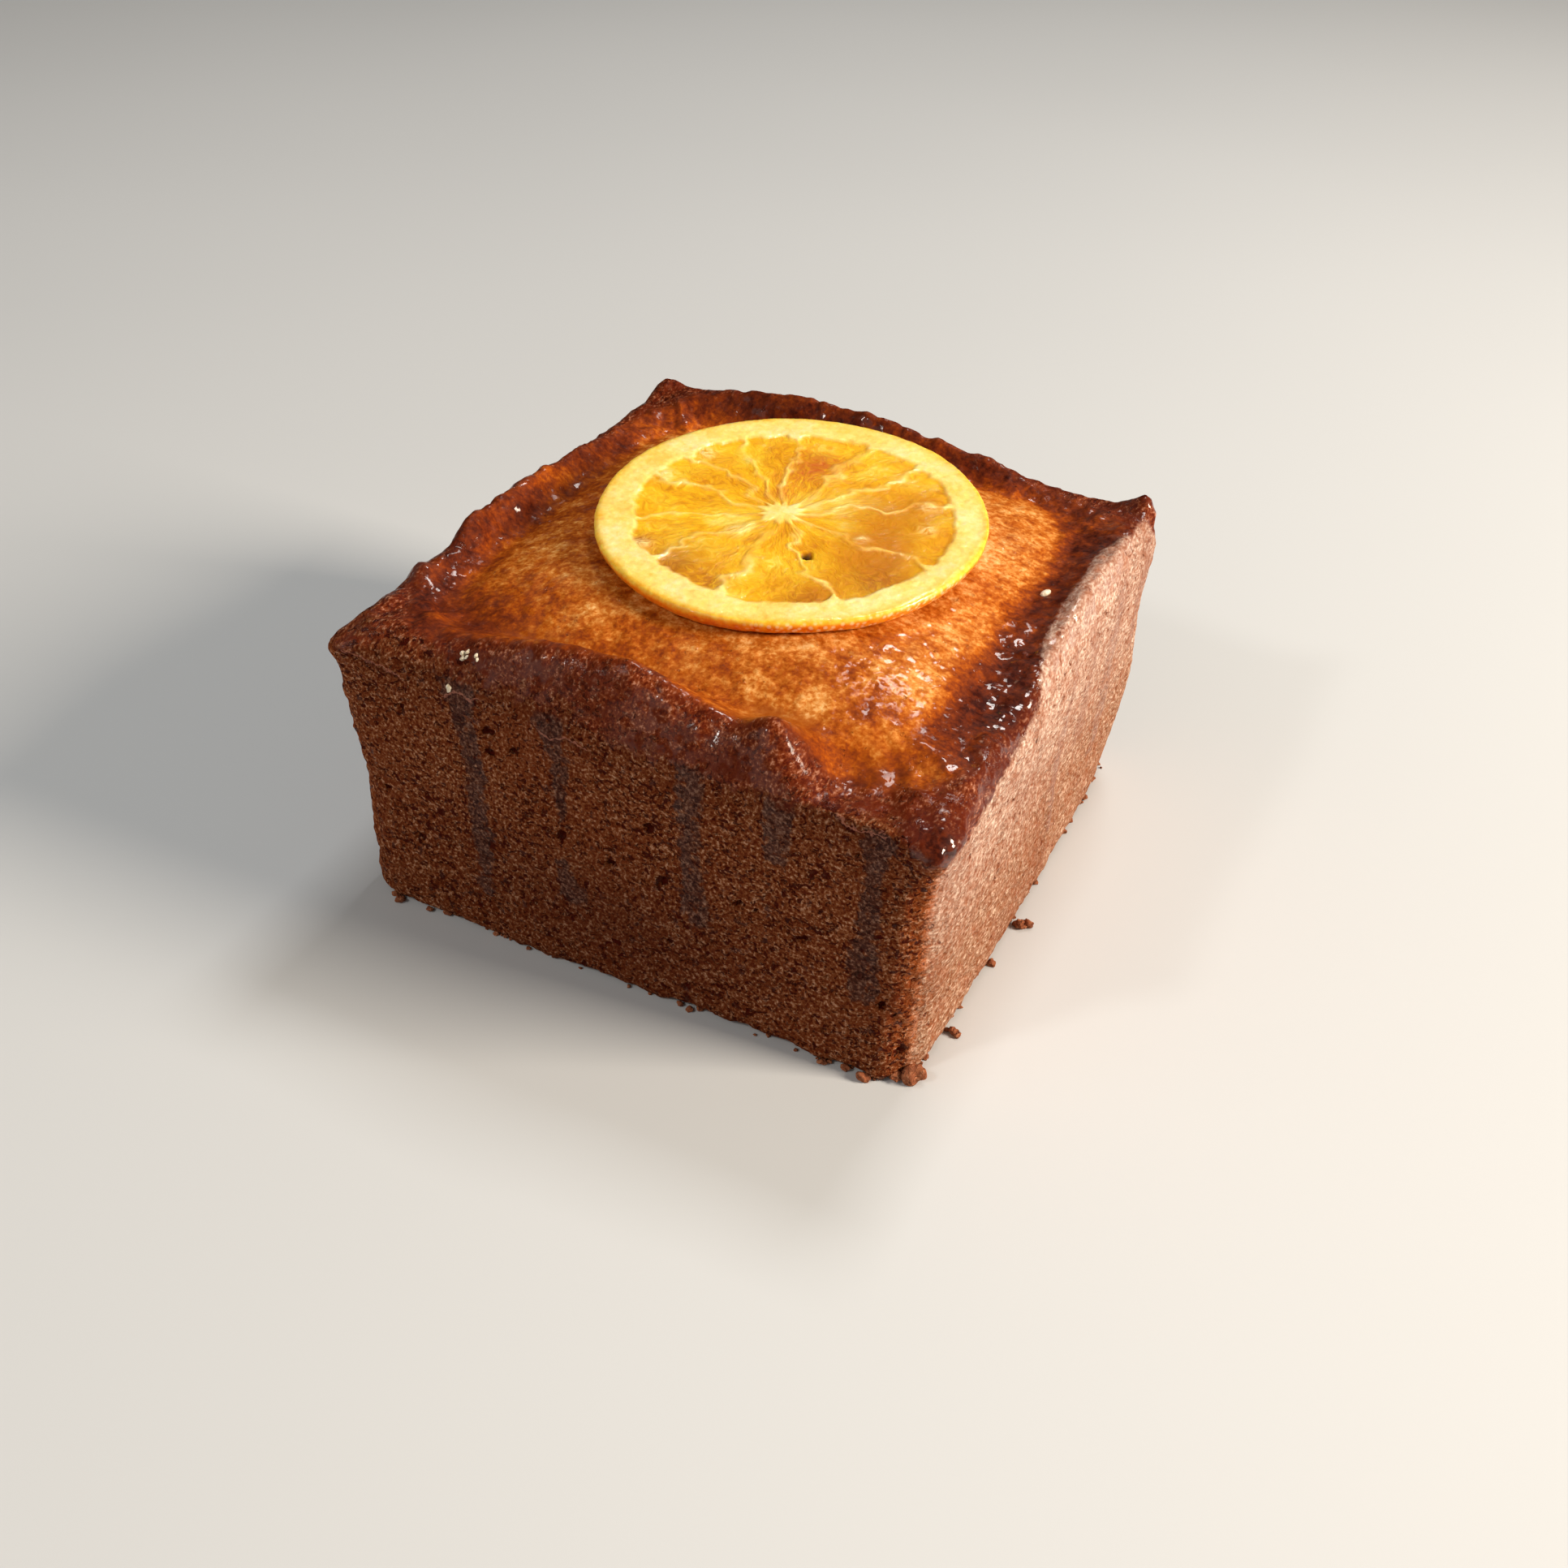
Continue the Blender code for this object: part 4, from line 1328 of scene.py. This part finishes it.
def loose_crumb_looks():
    """Loose crumbs: the same crumb, half way to one lighter brown."""
    looks = Looks("loose_crumb")
    ragged = looks.noise(0.60 * MM, 3.0, roughness=0.6)
    crumb, grain, pit = crumb_looks(looks, ragged)
    height = looks.math("SUBTRACT", looks.times(grain, 0.8), pit)
    looks.set(
        base_color=looks.mix(0.5, crumb, (166, 104, 74)),
        roughness=0.85,
        normal=looks.bump(height, 0.4 * MM),
        specular_ior_level=0.1,
    )
    return looks.material


def fleck_looks():
    """Cream-coloured flecks, a little grey in places."""
    looks = Looks("pale_fleck")
    tone = looks.noise(0.35 * MM, 3.0)
    looks.set(
        base_color=looks.ramp(tone, (0.35, 176, 158, 124), (0.62, 244, 234, 210)),
        roughness=0.5,
        normal=looks.bump(tone, 0.2 * MM),
        coat_weight=0.3,
    )
    return looks.material


def flesh_looks(looks, coarse):
    """The juice sacs: fine rays of yellow and orange, darker where the flesh is thin, with painted
    highlights on a few raised spots.
    """
    fibre = looks.vector("fibre")
    strands = looks.noise(0.30 * MM, 4.0, fibre, roughness=0.6, distortion=1.2)
    broad = looks.noise(1.3 * MM, places=fibre)
    tone = looks.blend(0.35, looks.blend(0.45, strands, broad), coarse)
    flesh = looks.ramp(
        tone,
        (0.36, 204, 132, 2),
        (0.46, 232, 170, 8),
        (0.55, 248, 198, 26),
        (0.66, 255, 228, 96),
    )
    flesh = looks.mix(looks.mask("deep", 0.75), flesh, (198, 126, 2))
    thin = looks.times("thin", looks.range(strands, 0.72, 0.40))
    flesh = looks.mix(looks.times(thin, 0.85), flesh, (168, 98, 10))
    russet = looks.times("russet", looks.range(strands, 0.68, 0.36))
    flesh = looks.mix(looks.times(russet, 0.75), flesh, (196, 96, 30))
    # Painted highlights: pale, nearly white glints on the small raised spots.
    glint_blobs = looks.times("glint_blobs", looks.range(strands, 0.38, 0.60))
    return looks.mix(looks.times(glint_blobs, 0.8), flesh, (255, 240, 176)), strands


def rind_looks(looks, fine):
    """The rind: yellow above, deep orange down the side, with pale specks on its front edge that are
    sugar and also painted highlights on its syrup beads.
    """
    above = looks.ramp(fine, (0.34, 250, 176, 34), (0.64, 255, 208, 76))
    side = looks.ramp(fine, (0.34, 228, 112, 4), (0.64, 252, 162, 28))
    colour = looks.mix("side", above, side)
    # Pale specks on the front of the side: sugar, and painted highlights where syrup beads catch the
    # light.
    grains = looks.times("sugar_glints", looks.range(looks.cells(0.75 * MM), 0.50, 0.25))
    return looks.mix(looks.times(grains, 0.7), colour, (255, 226, 176))


def slice_looks():
    """Wet candied orange: amber sacs, pale walls and pith, deeper orange rind."""
    looks = Looks("orange_slice")
    coarse = looks.noise(3.5 * MM)
    fine = looks.noise(0.55 * MM, 3.0, roughness=0.6)
    flesh, strands = flesh_looks(looks, coarse)
    tone = looks.blend(0.6, fine, coarse)
    pith = looks.ramp(tone, (0.36, 250, 204, 92), (0.50, 255, 226, 130), (0.64, 255, 240, 170))
    colour = looks.mix("pith", flesh, pith)
    colour = looks.mix("rind", colour, rind_looks(looks, fine))
    normal = looks.bump(looks.blend("flesh", fine, strands), 0.12 * MM)
    looks.set(
        # The hole is painted dark brown: painted shade in it.
        base_color=looks.mix("hole", colour, (52, 22, 8)),
        roughness=0.45,
        normal=normal,
        specular_ior_level=0.2,
        subsurface_weight=0.6,
        subsurface_radius=(1.0, 0.5, 0.12),
        subsurface_scale=2.4 * MM,
        coat_weight=looks.range(coarse, 0.42, 0.6, 0.1, 0.9),
        coat_roughness=0.08,
        coat_normal=normal,
    )
    return looks.material


# ---- The stage.


def make_floor():
    """A plain pale floor."""
    bpy.ops.mesh.primitive_plane_add(size=FLOOR_SIZE, location=(0, 0, 0))
    floor = bpy.context.object
    floor.name = "floor"
    looks = Looks("floor")
    tone = looks.ramp(looks.noise(0.2), (0.3, 200, 206, 210), (0.7, 206, 212, 216))
    looks.set(base_color=tone, roughness=0.6)
    floor.data.materials.append(looks.material)


def area_light(name, place, target, size, power, colour):
    """A square soft light."""
    data = bpy.data.lights.new(name, "AREA")
    data.shape = "SQUARE"
    data.size = size
    data.energy = power
    data.color = colour
    light = bpy.data.objects.new(name, data)
    bpy.context.scene.collection.objects.link(light)
    light.location = place
    heading = Vector(target) - Vector(place)
    light.rotation_euler = heading.to_track_quat("-Z", "Y").to_euler()


def make_lights():
    """A low warm sun from the right, a window behind, a soft front, and a small lamp for glints."""
    for name, heading, size, strength, colour in LIGHTS:
        heading = Vector(heading).normalized()
        area_light(name, heading * LIGHT_DISTANCE, LIGHT_TARGET, size, strength, colour)
    world = bpy.data.worlds.new("room")
    world.use_nodes = True
    background = world.node_tree.nodes["Background"]
    background.inputs["Color"].default_value = ROOM_COLOUR
    background.inputs["Strength"].default_value = ROOM_STRENGTH
    bpy.context.scene.world = world
    bpy.context.scene.view_settings.view_transform = "Standard"


def make_camera():
    """The photograph's view."""
    azimuth, elevation, roll = (math.radians(angle) for angle in CAMERA_ANGLES)
    level = math.cos(elevation)
    back = Vector((math.sin(azimuth) * level, -math.cos(azimuth) * level, math.sin(elevation)))
    level_x = Vector((0, 0, 1)).cross(back).normalized()
    level_y = back.cross(level_x)
    x_axis = math.cos(roll) * level_x + math.sin(roll) * level_y
    y_axis = -math.sin(roll) * level_x + math.cos(roll) * level_y
    data = bpy.data.cameras.new("camera")
    data.sensor_width = CAMERA_SENSOR
    data.lens = CAMERA_LENS
    data.clip_start = 0.01
    camera = bpy.data.objects.new("camera", data)
    bpy.context.scene.collection.objects.link(camera)
    place = Matrix((x_axis, y_axis, back)).transposed().to_4x4()
    place.translation = Vector(CAMERA_TARGET) + back * CAMERA_DISTANCE
    camera.matrix_world = place
    bpy.context.scene.camera = camera


def main():
    """Builds every piece, its looks and the stage."""
    cake = make_cake()
    cake.data.materials.append(cake_looks())
    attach(cake, "root")
    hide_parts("cake")
    orange = make_slice()
    orange.data.materials.append(slice_looks())
    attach(orange, "root")
    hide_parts("orange_slice")
    crumbs = make_crumbs()
    crumbs.data.materials.append(loose_crumb_looks())
    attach(crumbs, "root")
    flecks = make_flecks(cake)
    flecks.data.materials.append(fleck_looks())
    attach(flecks, "root")
    make_floor()
    make_lights()
    make_camera()


main()
